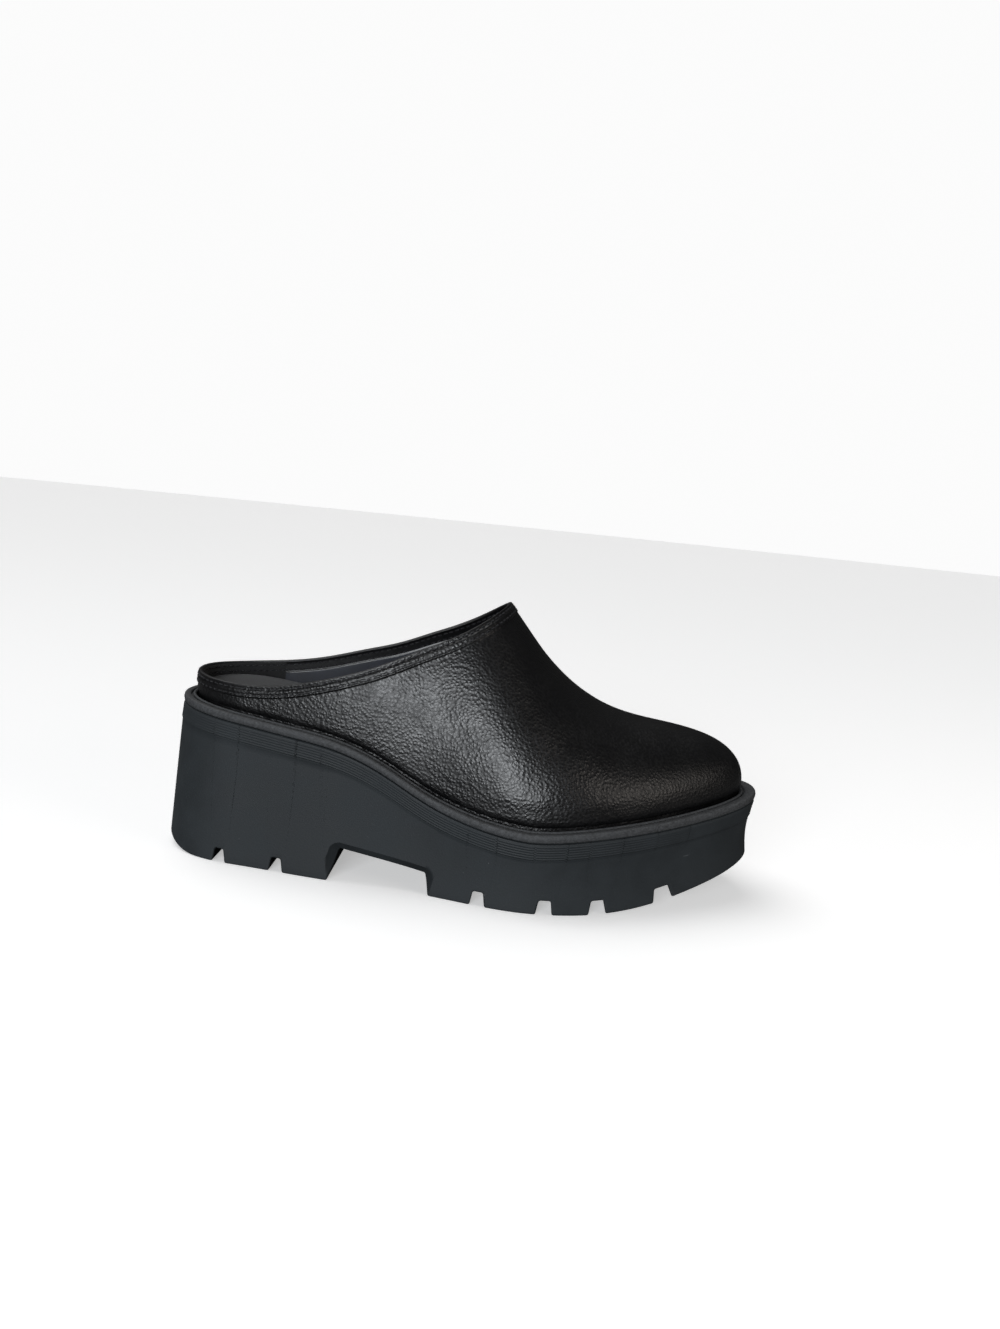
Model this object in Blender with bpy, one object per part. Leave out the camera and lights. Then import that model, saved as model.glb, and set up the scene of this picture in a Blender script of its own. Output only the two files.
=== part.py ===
"""Platform clog, right shoe, empty and standing on its sole.

Metres, +Z up. +X points to the toe, +Y to the inner (medial) side of the foot, and the origin
lies on the floor under the middle of the outline. The pieces are a moulded lug sole, a welt,
an insole and one hollow upper. All of them read the same outline and the same last, so a
change of one size moves every piece that meets there.
"""

import math

import bpy
import numpy as np

# Driving dimensions
LENGTH = 0.268  # tread, from heel back to toe tip
BALL_WIDTH = 0.0995  # tread, at the ball of the foot
HEEL_HEIGHT = 0.069  # welt above the floor at the heel back
FOREFOOT_HEIGHT = 0.034  # welt above the floor at the ball
TOE_HEIGHT = 0.0480  # welt above the floor at the toe tip
INSTEP_HEIGHT = 0.0885  # top of the upper above the welt, at the throat
TOE_SPRING = 0.0193  # tread above the floor at the toe tip
WALL = 0.0018  # leather and lining together
CLEARANCE = 0.0003  # between pieces that rest on each other

# Sole
HEEL_LENGTH = 0.0808  # heel back to the foot of the heel breast
BREAST_LEAN = 0.0040  # the breast leans towards the toe by this much at its top
ARCH_FRONT = 0.1253  # heel back to the foot of the forefoot platform
ARCH_FRONT_LEAN = 0.0022
ARCH_BACK_HEIGHT = 0.0142  # roof of the arch at the breast
ARCH_FRONT_HEIGHT = 0.0088
ARCH_CHAMFER = 0.0040  # bevel along both sides of the arch roof
SPRING_START = 0.70  # share of LENGTH where the toe spring leaves the floor
HEEL_BEVEL = 0.0055  # rise of the tread at the heel back
HEEL_BEVEL_LENGTH = 0.0190
TREAD_EDGE = 0.0011  # rounding of the tread's edge
LUG_DEPTH = 0.0062
GROOVE_WIDTH = 0.0045  # at the roof of a groove
GROOVE_DRAFT = 0.0010  # each wall of a groove leans outwards by this much
GROOVE_MOUTH = 0.0009  # bevel at the lower corners of the lugs
RIB_DROP = 0.0075  # from the top of the sole down to the rib line on its side
RIB_STEP = 0.00035

# Welt
WELT_HEIGHT = 0.0040
WELT_BELOW = 0.0024  # part of the welt's height that lies under its middle line
LEDGE = 0.0054  # from the welt's outer edge in to the leather
WELT_ROUND = 0.0010
BEAD_WIDTH = 0.0014
BEAD_RISE = 0.0005  # bead above the ledge
WELT_GROOVE_WIDTH = 0.0008
WELT_GROOVE_DEPTH = 0.0010

# Upper
COLLAR_BAND = 0.0055  # width of the folded band along the topline
COLLAR_STEP = 0.0004  # the band stands proud of the leather below it

# Insole
INSOLE_THICKNESS = 0.0105  # under the heel
INSOLE_ROUND = 0.0010
INSOLE_PLAY = 0.0003  # added to the clearance beside the upper

# Half widths of the tread and the height of the welt, a row for each section
SECTIONS = np.array(
    [
        (0.00, 0.329, 0.372, 0.010, -0.31, 1.00),
        (0.12, 0.329, 0.372, -0.004, -0.12, 0.96),
        (0.30, 0.392, 0.362, -0.014, 0.08, 0.94),
        (0.45, 0.433, 0.402, -0.016, 0.18, 0.96),
        (0.62, 0.537, 0.462, 0.000, 0.28, 1.00),
        (0.78, 0.443, 0.442, 0.018, 0.28, 1.04),
        (0.90, 0.334, 0.412, 0.040, 0.22, 1.14),
        (1.00, 0.301, 0.371, 0.058, 0.09, 1.34),
    ],
    dtype=[
        ("station", float),  # share of LENGTH from the heel back
        ("lateral", float),  # share of BALL_WIDTH
        ("medial", float),  # share of BALL_WIDTH
        ("middle", float),  # centre line towards the medial side, share of BALL_WIDTH
        ("flare", float),  # welt outside the tread, as a share of FLARE
        ("ledge", float),  # share of LEDGE
    ],
)
FLARE = 0.010
HEEL_ROUND = (0.14, 2.1)  # share of LENGTH that the heel's round takes, and its fullness
TOE_ROUND = (0.22, 2.2)

# Height of the welt between the named heights: 1 is HEEL_HEIGHT, 0 is FOREFOOT_HEIGHT
RIM = np.array(
    [
        (0.00, 1.000),
        (0.12, 0.909),
        (0.22, 0.831),
        (0.30, 0.750),
        (0.375, 0.551),
        (0.45, 0.266),
        (0.52, 0.098),
        (0.62, 0.000),
        (0.70, 0.000),
    ],
    dtype=[("station", float), ("height", float)],
)
# The same from the ball on: 0 is FOREFOOT_HEIGHT, 1 is TOE_HEIGHT
TOE_RIM = np.array(
    [(0.62, 0.000), (0.70, 0.120), (0.78, 0.290), (0.90, 0.605), (1.00, 1.000)],
    dtype=[("station", float), ("height", float)],
)
# Hollow of the sole's side between tread and welt
COVE = np.array(
    [(0.0, 0.0000), (0.3, 0.0004), (0.62, 0.0009), (0.85, 0.0014), (1.0, 0.0016)],
    dtype=[("station", float), ("depth", float)],
)
# The last: its ridge above the welt, how full its sections are and how far they bulge
LAST = np.array(
    [
        (0.00, 0.600, 0.020, 2.10, 0.000),
        (0.20, 0.780, 0.010, 2.05, 0.005),
        (0.35, 0.985, 0.010, 1.95, 0.010),
        (0.45, 1.090, 0.015, 1.90, 0.015),
        (0.50, 1.092, 0.020, 1.90, 0.020),
        (0.55, 0.993, 0.028, 1.90, 0.028),
        (0.60, 0.830, 0.036, 1.95, 0.034),
        (0.65, 0.675, 0.044, 2.05, 0.038),
        (0.70, 0.556, 0.052, 2.15, 0.040),
        (0.76, 0.463, 0.060, 2.20, 0.038),
        (0.84, 0.398, 0.068, 2.35, 0.030),
        (0.92, 0.362, 0.072, 2.50, 0.018),
        (1.00, 0.330, 0.072, 2.60, 0.010),
    ],
    dtype=[
        ("station", float),
        ("ridge", float),  # share of INSTEP_HEIGHT
        ("side", float),  # ridge towards the medial side, share of BALL_WIDTH
        ("fullness", float),  # exponent of the section's round
        ("bulge", float),  # share of the half width, a quarter of the way up
    ],
)
# Topline above the welt, as shares of INSTEP_HEIGHT
COLLAR = np.array(
    [
        (0.00, 0.142, 0.142),
        (0.06, 0.143, 0.148),
        (0.12, 0.154, 0.176),
        (0.18, 0.184, 0.220),
        (0.24, 0.242, 0.280),
        (0.30, 0.326, 0.362),
        (0.36, 0.456, 0.478),
        (0.42, 0.634, 0.646),
        (0.48, 0.804, 0.808),
        (0.52, 0.915, 0.915),
        (0.56, 1.030, 1.030),
    ],
    dtype=[("station", float), ("lateral", float), ("medial", float)],
)
# Thickness of the insole, a share of INSOLE_THICKNESS
FOOTBED = np.array(
    [(0.0, 0.78), (0.12, 1.00), (0.22, 0.98), (0.35, 0.78), (0.5, 0.52), (0.7, 0.42), (1.0, 0.42)],
    dtype=[("station", float), ("thickness", float)],
)
# Grooves across the tread: place as a share of LENGTH, width as a share of GROOVE_WIDTH
GROOVES = np.array(
    [(0.116, 0.85), (0.2145, 0.90), (0.547, 0.95), (0.652, 1.10), (0.737, 1.20), (0.8455, 1.40)],
    dtype=[("station", float), ("width", float)],
)
# Upper columns are straight across the foot between these stations and fan out beyond them
HEEL_FAN = 0.28
TOE_FAN = 0.60

# Mesh
SOLE_COLUMNS = 112
SIDE_ROWS = (0.07, 0.25, 0.5, 0.75, 1.0)  # shares of the way from tread to rib line
UPPER_COLUMNS = 44  # along each side
THROAT_COLUMNS = 5  # closer ones on either side of the throat
THROAT_SPACING = 0.0016  # first of them from the throat, share of LENGTH
THROAT_CLEAR = 0.006  # no even column nearer to them than this
THROAT_RANGE = (0.4, 0.7)  # the throat lies between these stations
UPPER_ROWS = (0.0, 0.05, 0.14, 0.26, 0.40, 0.55, 0.70, 0.85, 1.0)
BAND_ROWS = (0.09, 0.40, 0.72, 1.0)
VAMP_ANGLES = (84, 72)  # ahead of the throat the band's rows start here, in degrees
VAMP_REACH = 0.15  # share of LENGTH over which the first angle runs into the second
SHARP_ANGLE = 35  # degrees
BISECTIONS = 40
SMALL_TURN = 1e-3  # for slopes by difference
SMALL_STEP = 1e-4

COLOURS = {
    # base colour, roughness
    "sole_unit": ((0.028, 0.032, 0.035, 1.0), 0.75),
    "welt": ((0.050, 0.052, 0.054, 1.0), 0.80),
    "upper": ((0.010, 0.010, 0.011, 1.0), 0.38),
    "insole": ((0.035, 0.036, 0.040, 1.0), 0.60),
}


def smooth_through(table, column, at):
    """Natural cubic spline through a table's column, straight on beyond its ends."""
    x = table["station"]
    y = table[column]
    h = np.diff(x)
    matrix = np.eye(len(x))
    bend = np.zeros(len(x))
    for i in range(1, len(x) - 1):
        matrix[i, i - 1 : i + 2] = h[i - 1], 2 * (h[i - 1] + h[i]), h[i]
        bend[i] = 6 * ((y[i + 1] - y[i]) / h[i] - (y[i] - y[i - 1]) / h[i - 1])
    m = np.linalg.solve(matrix, bend)
    inside = np.clip(at, x[0], x[-1])
    i = np.clip(np.searchsorted(x, inside) - 1, 0, len(x) - 2)
    a = x[i + 1] - inside
    b = inside - x[i]
    value = (m[i] * a**3 + m[i + 1] * b**3) / (6 * h[i])
    value += (y[i] / h[i] - m[i] * h[i] / 6) * a + (y[i + 1] / h[i] - m[i + 1] * h[i] / 6) * b
    first = (y[1] - y[0]) / h[0] - m[1] * h[0] / 6
    last = (y[-1] - y[-2]) / h[-1] + m[-2] * h[-1] / 6
    return value + np.minimum(at - x[0], 0) * first + np.maximum(at - x[-1], 0) * last


def rim_height(x):
    """Middle line of the welt above the floor."""
    share = x / LENGTH
    back = smooth_through(RIM, "height", np.minimum(share, RIM["station"][-1]))
    front = smooth_through(TOE_RIM, "height", np.maximum(share, TOE_RIM["station"][0]))
    front = np.where(share > TOE_RIM["station"][0], front, 0)
    return (
        FOREFOOT_HEIGHT
        + back * (HEEL_HEIGHT - FOREFOOT_HEIGHT)
        + front * (TOE_HEIGHT - FOREFOOT_HEIGHT)
    )


def deck_height(x):
    """Top of the sole, on which welt, upper and insole rest."""
    return rim_height(x) - WELT_BELOW - CLEARANCE


def tread_height(x):
    """Underside of the sole: flat, with the toe spring and the bevel at the heel back."""
    spring = np.clip(x / LENGTH - SPRING_START, 0, None) / (1 - SPRING_START)
    bevel = np.clip(1 - x / HEEL_BEVEL_LENGTH, 0, None)
    return TOE_SPRING * spring**2 + HEEL_BEVEL * bevel**2


def end_round(share):
    """1 along the middle, running down to 0 at heel back and toe tip as superellipses."""
    heel_share, heel_power = HEEL_ROUND
    toe_share, toe_power = TOE_ROUND
    heel = np.clip(1 - share / heel_share, 0, 1) ** heel_power
    toe = np.clip(1 - (1 - share) / toe_share, 0, 1) ** toe_power
    return (1 - heel) ** (1 / heel_power) * (1 - toe) ** (1 / toe_power)


def tread_point(turn):
    """Tread outline, once round: turn 0 is the heel back, pi the toe tip, lateral side first."""
    share = (1 - np.cos(turn)) / 2
    lateral = np.sin(turn) >= 0
    width = np.where(
        lateral,
        -smooth_through(SECTIONS, "lateral", share),
        smooth_through(SECTIONS, "medial", share),
    )
    middle = smooth_through(SECTIONS, "middle", share)
    return np.stack([share * LENGTH, (middle + width * end_round(share)) * BALL_WIDTH], -1)


def outline(turn, outset):
    """Tread outline moved outwards in plan by outset."""
    along = tread_point(turn + SMALL_TURN) - tread_point(turn - SMALL_TURN)
    along /= np.linalg.norm(along, axis=-1, keepdims=True)
    outward = np.stack([along[..., 1], -along[..., 0]], -1)
    return tread_point(turn) + outward * np.asarray(outset)[..., None]


def flare(turn):
    """How far the welt's outer edge stands outside the tread."""
    return FLARE * smooth_through(SECTIONS, "flare", (1 - np.cos(turn)) / 2)


def leather_outset(turn, inset=0.0):
    """How far the outer face of the upper, or a face inset from it, stands outside the tread."""
    ledge = LEDGE * smooth_through(SECTIONS, "ledge", (1 - np.cos(turn)) / 2)
    return flare(turn) - ledge - inset


def plan_centre():
    """Middle of the outline's box, which becomes the origin."""
    turn = np.linspace(0, 2 * math.pi, 8 * SOLE_COLUMNS, endpoint=False)
    rims = np.concatenate([outline(turn, flare(turn)), tread_point(turn)])
    return (rims.min(axis=0) + rims.max(axis=0)) / 2


def add_object(name, points, faces):
    """One named mesh object with its own material, placed with the origin under its middle."""
    centre = plan_centre()
    points = np.asarray(points) - np.array([centre[0], centre[1], 0.0])
    mesh = bpy.data.meshes.new(name)
    mesh.from_pydata(points.tolist(), [], faces)
    mesh.validate()
    mesh.update()
    thing = bpy.data.objects.new(name, mesh)
    bpy.context.scene.collection.objects.link(thing)
    return thing


def finish(thing):
    """Material and smooth shading."""
    colour, roughness = COLOURS[thing.name]
    material = bpy.data.materials.new(thing.name)
    material.use_nodes = True
    shader = material.node_tree.nodes["Principled BSDF"]
    shader.inputs["Base Color"].default_value = colour
    shader.inputs["Roughness"].default_value = roughness
    shader.inputs["Metallic"].default_value = 0.0
    thing.data.materials.append(material)
    thing.data.shade_smooth()
    thing.data.set_sharp_from_angle(angle=math.radians(SHARP_ANGLE))
    return thing


def ring_faces(rows, columns):
    """Quads between neighbouring closed rows of a grid stored row after row, facing out."""
    faces = []
    for low in range(0, (rows - 1) * columns, columns):
        for c in range(columns):
            right = (c + 1) % columns
            faces.append((low + c, low + right, low + columns + right, low + columns + c))
    return faces


def cap_faces(start, columns, flip=False):
    """Strips from each lateral point of a closed row across to the medial one opposite, facing
    down, or up with flip."""
    half = columns // 2
    faces = []
    for c in range(half):
        left, next_left = start + c, start + c + 1
        right, next_right = start + (columns - c) % columns, start + columns - c - 1
        strip = [left, right, next_right, next_left]
        strip = [p for i, p in enumerate(strip) if p not in strip[:i]]
        faces.append(strip[::-1] if flip else strip)
    return faces


def ring_turns():
    return np.linspace(0, 2 * math.pi, SOLE_COLUMNS, endpoint=False)


def with_height(plan, height):
    return np.column_stack([plan, np.broadcast_to(height, len(plan))])


def sole_body():
    """Tread, flared side with its rib line, and deck."""
    turn = ring_turns()
    share = (1 - np.cos(turn)) / 2
    cove = smooth_through(COVE, "depth", share)
    edge = flare(turn)
    bottom = tread_height(share * LENGTH)
    rows = [with_height(outline(turn, -TREAD_EDGE), bottom)]

    def side_row(height_share=None, drop=None, proud=0.0):
        """A row of the side, by its share of the way up to the rib line or its drop from the top."""
        plan = outline(turn, edge)
        top = deck_height(plan[:, 0])
        rib = top - RIB_DROP
        z = top - drop if height_share is None else bottom + height_share * (rib - bottom)
        up = (z - bottom) / (top - bottom)
        outset = edge * up - cove * np.sin(math.pi * up) + proud
        rows.append(with_height(outline(turn, outset), z))

    for up in SIDE_ROWS:
        side_row(height_share=up)
    side_row(drop=RIB_DROP - 2 * RIB_STEP, proud=RIB_STEP)
    side_row(drop=RIB_DROP / 2, proud=RIB_STEP / 2)
    side_row(drop=TREAD_EDGE)
    plan = outline(turn, edge - TREAD_EDGE / 2)
    rows.append(with_height(plan, deck_height(plan[:, 0])))
    faces = ring_faces(len(rows), SOLE_COLUMNS)
    faces += cap_faces(0, SOLE_COLUMNS)
    faces += cap_faces((len(rows) - 1) * SOLE_COLUMNS, SOLE_COLUMNS, flip=True)
    return add_object("sole_unit", np.concatenate(rows), faces)


def prism(profile, reach):
    """Points and faces of a closed profile in XZ carried across the sole from -reach to +reach."""
    count = len(profile)
    points = [(x, y, z) for y in (-reach, reach) for x, z in profile]
    faces = [tuple(range(count)), tuple(range(2 * count - 1, count - 1, -1))]
    faces += [(i, count + i, count + (i + 1) % count, (i + 1) % count) for i in range(count)]
    return points, faces


def groove_profile(station, width):
    """Drafted groove with bevelled mouth, square to the tread at its place."""
    x = station * LENGTH
    slope = (tread_height(x + SMALL_STEP) - tread_height(x - SMALL_STEP)) / (2 * SMALL_STEP)
    tilt = math.atan(slope)
    half = width * GROOVE_WIDTH / 2
    foot = half + GROOVE_DRAFT
    mouth = foot + GROOVE_MOUTH
    side = [(half, LUG_DEPTH), (foot, GROOVE_MOUTH), (mouth, 0.0), (mouth, -LUG_DEPTH)]
    shape = [(-a, b) for a, b in side] + side[::-1]
    cos, sin = math.cos(tilt), math.sin(tilt)
    z = float(tread_height(x))
    return [(x + a * cos - b * sin, z + a * sin + b * cos) for a, b in shape]


def cutter(name, parts):
    """One hidden object of several closed shapes, used to cut the sole."""
    points = []
    faces = []
    for part_points, part_faces in parts:
        start = len(points)
        points += part_points
        faces += [tuple(start + i for i in face) for face in part_faces]
    thing = add_object(name, points, faces)
    thing.hide_render = True
    thing.display_type = "WIRE"
    return thing


def arch_shape():
    """The gap between heel and forefoot: sloped breast, falling roof, bevels along its sides."""
    start = HEEL_LENGTH + BREAST_LEAN
    end = ARCH_FRONT - ARCH_FRONT_LEAN
    columns = np.sort((1 - np.cos(ring_turns()[: SOLE_COLUMNS // 2])) / 2) * LENGTH
    between = columns[(columns > start + TREAD_EDGE) & (columns < end - TREAD_EDGE)]
    x = np.concatenate([[start], between, [end]])
    turn = np.arccos(1 - 2 * x / LENGTH)
    along = (x - start) / (end - start)
    roof = ARCH_BACK_HEIGHT + along * (ARCH_FRONT_HEIGHT - ARCH_BACK_HEIGHT)
    bevel_top = roof + 2 * ARCH_CHAMFER
    floor = -ARCH_CHAMFER
    lean = (roof - floor) / roof * (BREAST_LEAN * (1 - along) - ARCH_FRONT_LEAN * along)
    lateral = outline(turn, np.full(len(x), ARCH_CHAMFER))
    medial = outline(2 * math.pi - turn, np.full(len(x), ARCH_CHAMFER))
    points = []
    for i in range(len(x)):
        points += [
            (x[i], lateral[i, 1], bevel_top[i]),
            (x[i], lateral[i, 1] + 2 * ARCH_CHAMFER, roof[i]),
            (x[i], medial[i, 1] - 2 * ARCH_CHAMFER, roof[i]),
            (x[i], medial[i, 1], bevel_top[i]),
            (x[i] - lean[i], medial[i, 1], floor),
            (x[i] - lean[i], lateral[i, 1], floor),
        ]
    count = len(points) // len(x)
    faces = [tuple(range(count)), tuple(range(len(points) - 1, len(points) - count - 1, -1))]
    for low in range(0, len(points) - count, count):
        for i in range(count):
            a, b = low + i, low + (i + 1) % count
            faces.append((b, a, a + count, b + count))
    return [tuple(float(v) for v in point) for point in points], faces


def cut(thing, tool):
    modifier = thing.modifiers.new(tool.name, "BOOLEAN")
    modifier.operation = "DIFFERENCE"
    modifier.solver = "EXACT"
    modifier.object = tool


def make_sole():
    sole = finish(sole_body())
    reach = BALL_WIDTH
    grooves = [prism(groove_profile(row["station"], row["width"]), reach) for row in GROOVES]
    cut(sole, cutter("groove_cutter", grooves))
    cut(sole, cutter("arch_cutter", [arch_shape()]))
    return sole


def make_welt():
    """Closed strip round the top of the sole: rounded edge, flat ledge, groove and bead."""
    turn = ring_turns()
    outer = flare(turn)
    inner = leather_outset(turn, -CLEARANCE)
    ledge = WELT_HEIGHT - WELT_BELOW - BEAD_RISE
    slant = WELT_GROOVE_WIDTH / 4
    groove_foot = BEAD_WIDTH + WELT_GROOVE_WIDTH
    profile = [
        (inner, 0.0, -WELT_BELOW),
        (outer, -WELT_ROUND / 2, -WELT_BELOW),
        (outer, 0.0, -WELT_BELOW + WELT_ROUND),
        (outer, 0.0, ledge - WELT_ROUND),
        (outer, -WELT_ROUND, ledge),
        (inner, groove_foot + slant, ledge),
        (inner, groove_foot, ledge - WELT_GROOVE_DEPTH),
        (inner, BEAD_WIDTH, ledge - WELT_GROOVE_DEPTH),
        (inner, BEAD_WIDTH - slant, ledge + BEAD_RISE / 2),
        (inner, BEAD_WIDTH / 2, ledge + BEAD_RISE),
        (inner, 0.0, ledge + BEAD_RISE / 2),
    ]
    rows = []
    for edge, outset, height in profile + profile[:1]:
        plan = outline(turn, edge + outset)
        rows.append(with_height(plan, rim_height(plan[:, 0]) + height))
    points = np.concatenate(rows[:-1])
    faces = ring_faces(len(rows), SOLE_COLUMNS)
    faces = [tuple(i % len(points) for i in face) for face in faces]
    return finish(add_object("welt", points, faces))


def make_insole():
    """Padded footbed inside the upper, thick under the heel and thin under the toes."""
    turn = ring_turns()
    inset = leather_outset(turn, WALL + CLEARANCE + INSOLE_PLAY)
    rows = []
    for extra, up, top in ((0.0, 0.0, False), (0.0, -INSOLE_ROUND, True), (-INSOLE_ROUND, 0.0, True)):
        plan = outline(turn, inset + extra)
        share = plan[:, 0] / LENGTH
        height = deck_height(plan[:, 0]) + CLEARANCE + up
        if top:
            height = height + INSOLE_THICKNESS * smooth_through(FOOTBED, "thickness", share)
        rows.append(with_height(plan, height))
    faces = ring_faces(len(rows), SOLE_COLUMNS)
    faces += cap_faces(0, SOLE_COLUMNS)
    faces += cap_faces((len(rows) - 1) * SOLE_COLUMNS, SOLE_COLUMNS, flip=True)
    return finish(add_object("insole", np.concatenate(rows), faces))


def ridge_station(share):
    """Where a column from this outline station ends on the ridge: the ends fan out smoothly."""
    heel = np.clip(HEEL_FAN - share, 0, None)
    toe = np.clip(share - TOE_FAN, 0, None)
    return share + heel**2 / (2 * HEEL_FAN) - toe**2 / (2 * (1 - TOE_FAN))


def collar_height(x, side):
    return rim_height(x) + INSTEP_HEIGHT * smooth_through(COLLAR, side, x / LENGTH)


def band_height(x, side):
    """Lower edge of the collar band: the topline moved square to itself, seen from the side."""
    at = np.linspace(-0.1, COLLAR["station"][-1], 200) * LENGTH
    top = collar_height(at, side)
    slope = np.gradient(top, at)
    run = np.sqrt(1 + slope**2)
    low_x = at + COLLAR_BAND * slope / run
    low_z = top - COLLAR_BAND / run
    end_slope = (low_z[-1] - low_z[-2]) / (low_x[-1] - low_x[-2])
    return np.interp(x, low_x, low_z) + np.maximum(x - low_x[-1], 0) * end_slope


def last_point(share, side, angle):
    """Outer face of the upper. share is the outline station, angle runs from 0 just above the
    welt to 90 degrees on the ridge. Each section is a superellipse from outline to ridge."""
    turn = np.arccos(1 - 2 * share)
    turn = turn if side == "lateral" else 2 * math.pi - turn
    foot = outline(turn, leather_outset(turn))
    ridge_share = ridge_station(share)
    ridge = np.stack(
        [ridge_share * LENGTH, BALL_WIDTH * smooth_through(LAST, "side", ridge_share)], -1
    )
    power = 2 / smooth_through(LAST, "fullness", share)
    up = np.sin(angle) ** power
    out = np.cos(angle) ** power
    out = out * (1 + smooth_through(LAST, "bulge", share) * np.sin(math.pi * np.sqrt(up)))
    plan = ridge + (foot - ridge) * out[..., None]
    x = plan[..., 0]
    start = rim_height(x) + WELT_HEIGHT - WELT_BELOW + CLEARANCE
    top = rim_height(x) + INSTEP_HEIGHT * smooth_through(LAST, "ridge", x / LENGTH)
    return np.concatenate([plan, (start + (top - start) * up)[..., None]], -1)


def angle_where(share, side, limit):
    """Angle at which each column reaches the height limit(x, side), or 90 degrees."""
    low = np.zeros_like(share)
    high = np.full_like(share, math.pi / 2)
    for _ in range(BISECTIONS):
        middle = (low + high) / 2
        point = last_point(share, side, middle)
        under = point[:, 2] < limit(point[:, 0], side)
        low = np.where(under, middle, low)
        high = np.where(under, high, middle)
    return np.where(low > math.pi / 2 - 1e-6, math.pi / 2, low)


def throat_station():
    """Share of LENGTH where the topline reaches the ridge."""
    share = np.linspace(*THROAT_RANGE, 3001)
    gap = smooth_through(LAST, "ridge", share) - smooth_through(COLLAR, "lateral", share)
    return float(np.interp(0.0, -gap, share))


def upper_stations():
    """Outline stations of the columns, closer together beside the throat."""
    throat = throat_station()
    even = (1 - np.cos(np.linspace(0, math.pi, UPPER_COLUMNS + 1))) / 2
    near = THROAT_SPACING * np.arange(1, THROAT_COLUMNS + 1) ** 2
    close = np.concatenate([throat - near, [throat], throat + near])
    clear = (even < close[0] - THROAT_CLEAR) | (even > close[-1] + THROAT_CLEAR)
    return np.sort(np.concatenate([even[clear], close]))


def side_grid(share, side):
    """Points of one side of the upper, and which of them lie on the collar band."""
    throat = throat_station()
    top = angle_where(share, side, collar_height)
    band = angle_where(share, side, band_height)
    ahead = np.clip((share - throat) / VAMP_REACH, 0, 1)
    high, low = np.radians(VAMP_ANGLES)
    band = np.minimum(band, high + (low - high) * ahead)
    angles = [band * row for row in UPPER_ROWS]
    angles += [band + (top - band) * row for row in BAND_ROWS]
    points = np.stack([last_point(share, side, angle) for angle in angles])
    on_band = points[..., 2] > band_height(points[..., 0], side) - 1e-6
    on_band[: len(UPPER_ROWS)] = False
    margin = points[:1].copy()
    margin[..., 2] = deck_height(margin[..., 0]) + CLEARANCE
    return np.concatenate([margin, points]), np.concatenate([on_band[:1], on_band])


def point_normals(points, faces):
    """Normal at each point: the sum of those of its faces, by area."""
    total = np.zeros_like(points)
    for face in faces:
        corners = points[list(face)]
        across = np.cross(corners[2] - corners[0], corners[-1] - corners[1])
        for i in face:
            total[i] += across
    return total / np.linalg.norm(total, axis=1, keepdims=True)


def make_upper():
    """One hollow wall: the last's surface, with the collar band proud of it and the inside
    moved in along the normals, closed along the topline and along the lower edge."""
    share = upper_stations()
    lateral, lateral_band = side_grid(share, "lateral")
    medial, medial_band = side_grid(share, "medial")
    rows, columns = lateral.shape[:2]
    ring = 2 * columns - 2
    order = np.arange(columns - 2, 0, -1)
    grid = np.concatenate([lateral, medial[:, order]], axis=1)
    on_band = np.concatenate([lateral_band, medial_band[:, order]], axis=1)
    throat = int(np.argmin(np.abs(share - throat_station())))

    index = np.arange(rows * ring).reshape(rows, ring)
    ridge = np.arange(throat, columns - 1)
    index[-1, ring - ridge] = index[-1, ridge]
    used = np.unique(index)
    renumber = np.full(rows * ring, -1)
    renumber[used] = np.arange(len(used))
    index = renumber[index]
    base = grid.reshape(-1, 3)[used]
    raised = on_band.reshape(-1)[used]

    outer = []
    for r in range(rows - 1):
        for c in range(ring):
            right = (c + 1) % ring
            quad = [index[r, c], index[r, right], index[r + 1, right], index[r + 1, c]]
            quad = [int(p) for i, p in enumerate(quad) if p not in quad[:i]]
            if len(quad) > 2:
                outer.append(quad)
    normals = point_normals(base, outer)
    outside = base + normals * (COLLAR_STEP * raised)[:, None]
    inside = base - normals * WALL
    inside[index[0], 2] = base[index[0], 2]
    count = len(base)
    faces = outer + [[count + p for p in quad[::-1]] for quad in outer]
    for c in range(ring):
        a, b = int(index[0, c]), int(index[0, (c + 1) % ring])
        faces.append([count + a, count + b, b, a])
    topline = [int(i) for i in index[-1, : throat + 1]]
    topline += [int(i) for i in index[-1, ring - throat + 1 :]]
    for a, b in zip(topline, topline[1:] + topline[:1]):
        faces.append([count + b, count + a, a, b])
    return finish(add_object("upper", np.concatenate([outside, inside]), faces))


def main():
    for thing in list(bpy.data.objects):
        bpy.data.objects.remove(thing)
    make_sole()
    make_welt()
    make_insole()
    make_upper()


main()
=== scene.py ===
"""Looks of the platform clog: leather, lining, stitching, welt, footbed, sole and stage.

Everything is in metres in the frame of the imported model: +X to the toe, +Y to the inner side of
the foot, +Z up. The outline of the tread and the last are the same curves as in the CAD source.
"""

import math

import bmesh
import bpy
import numpy as np
from mathutils import Matrix


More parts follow.
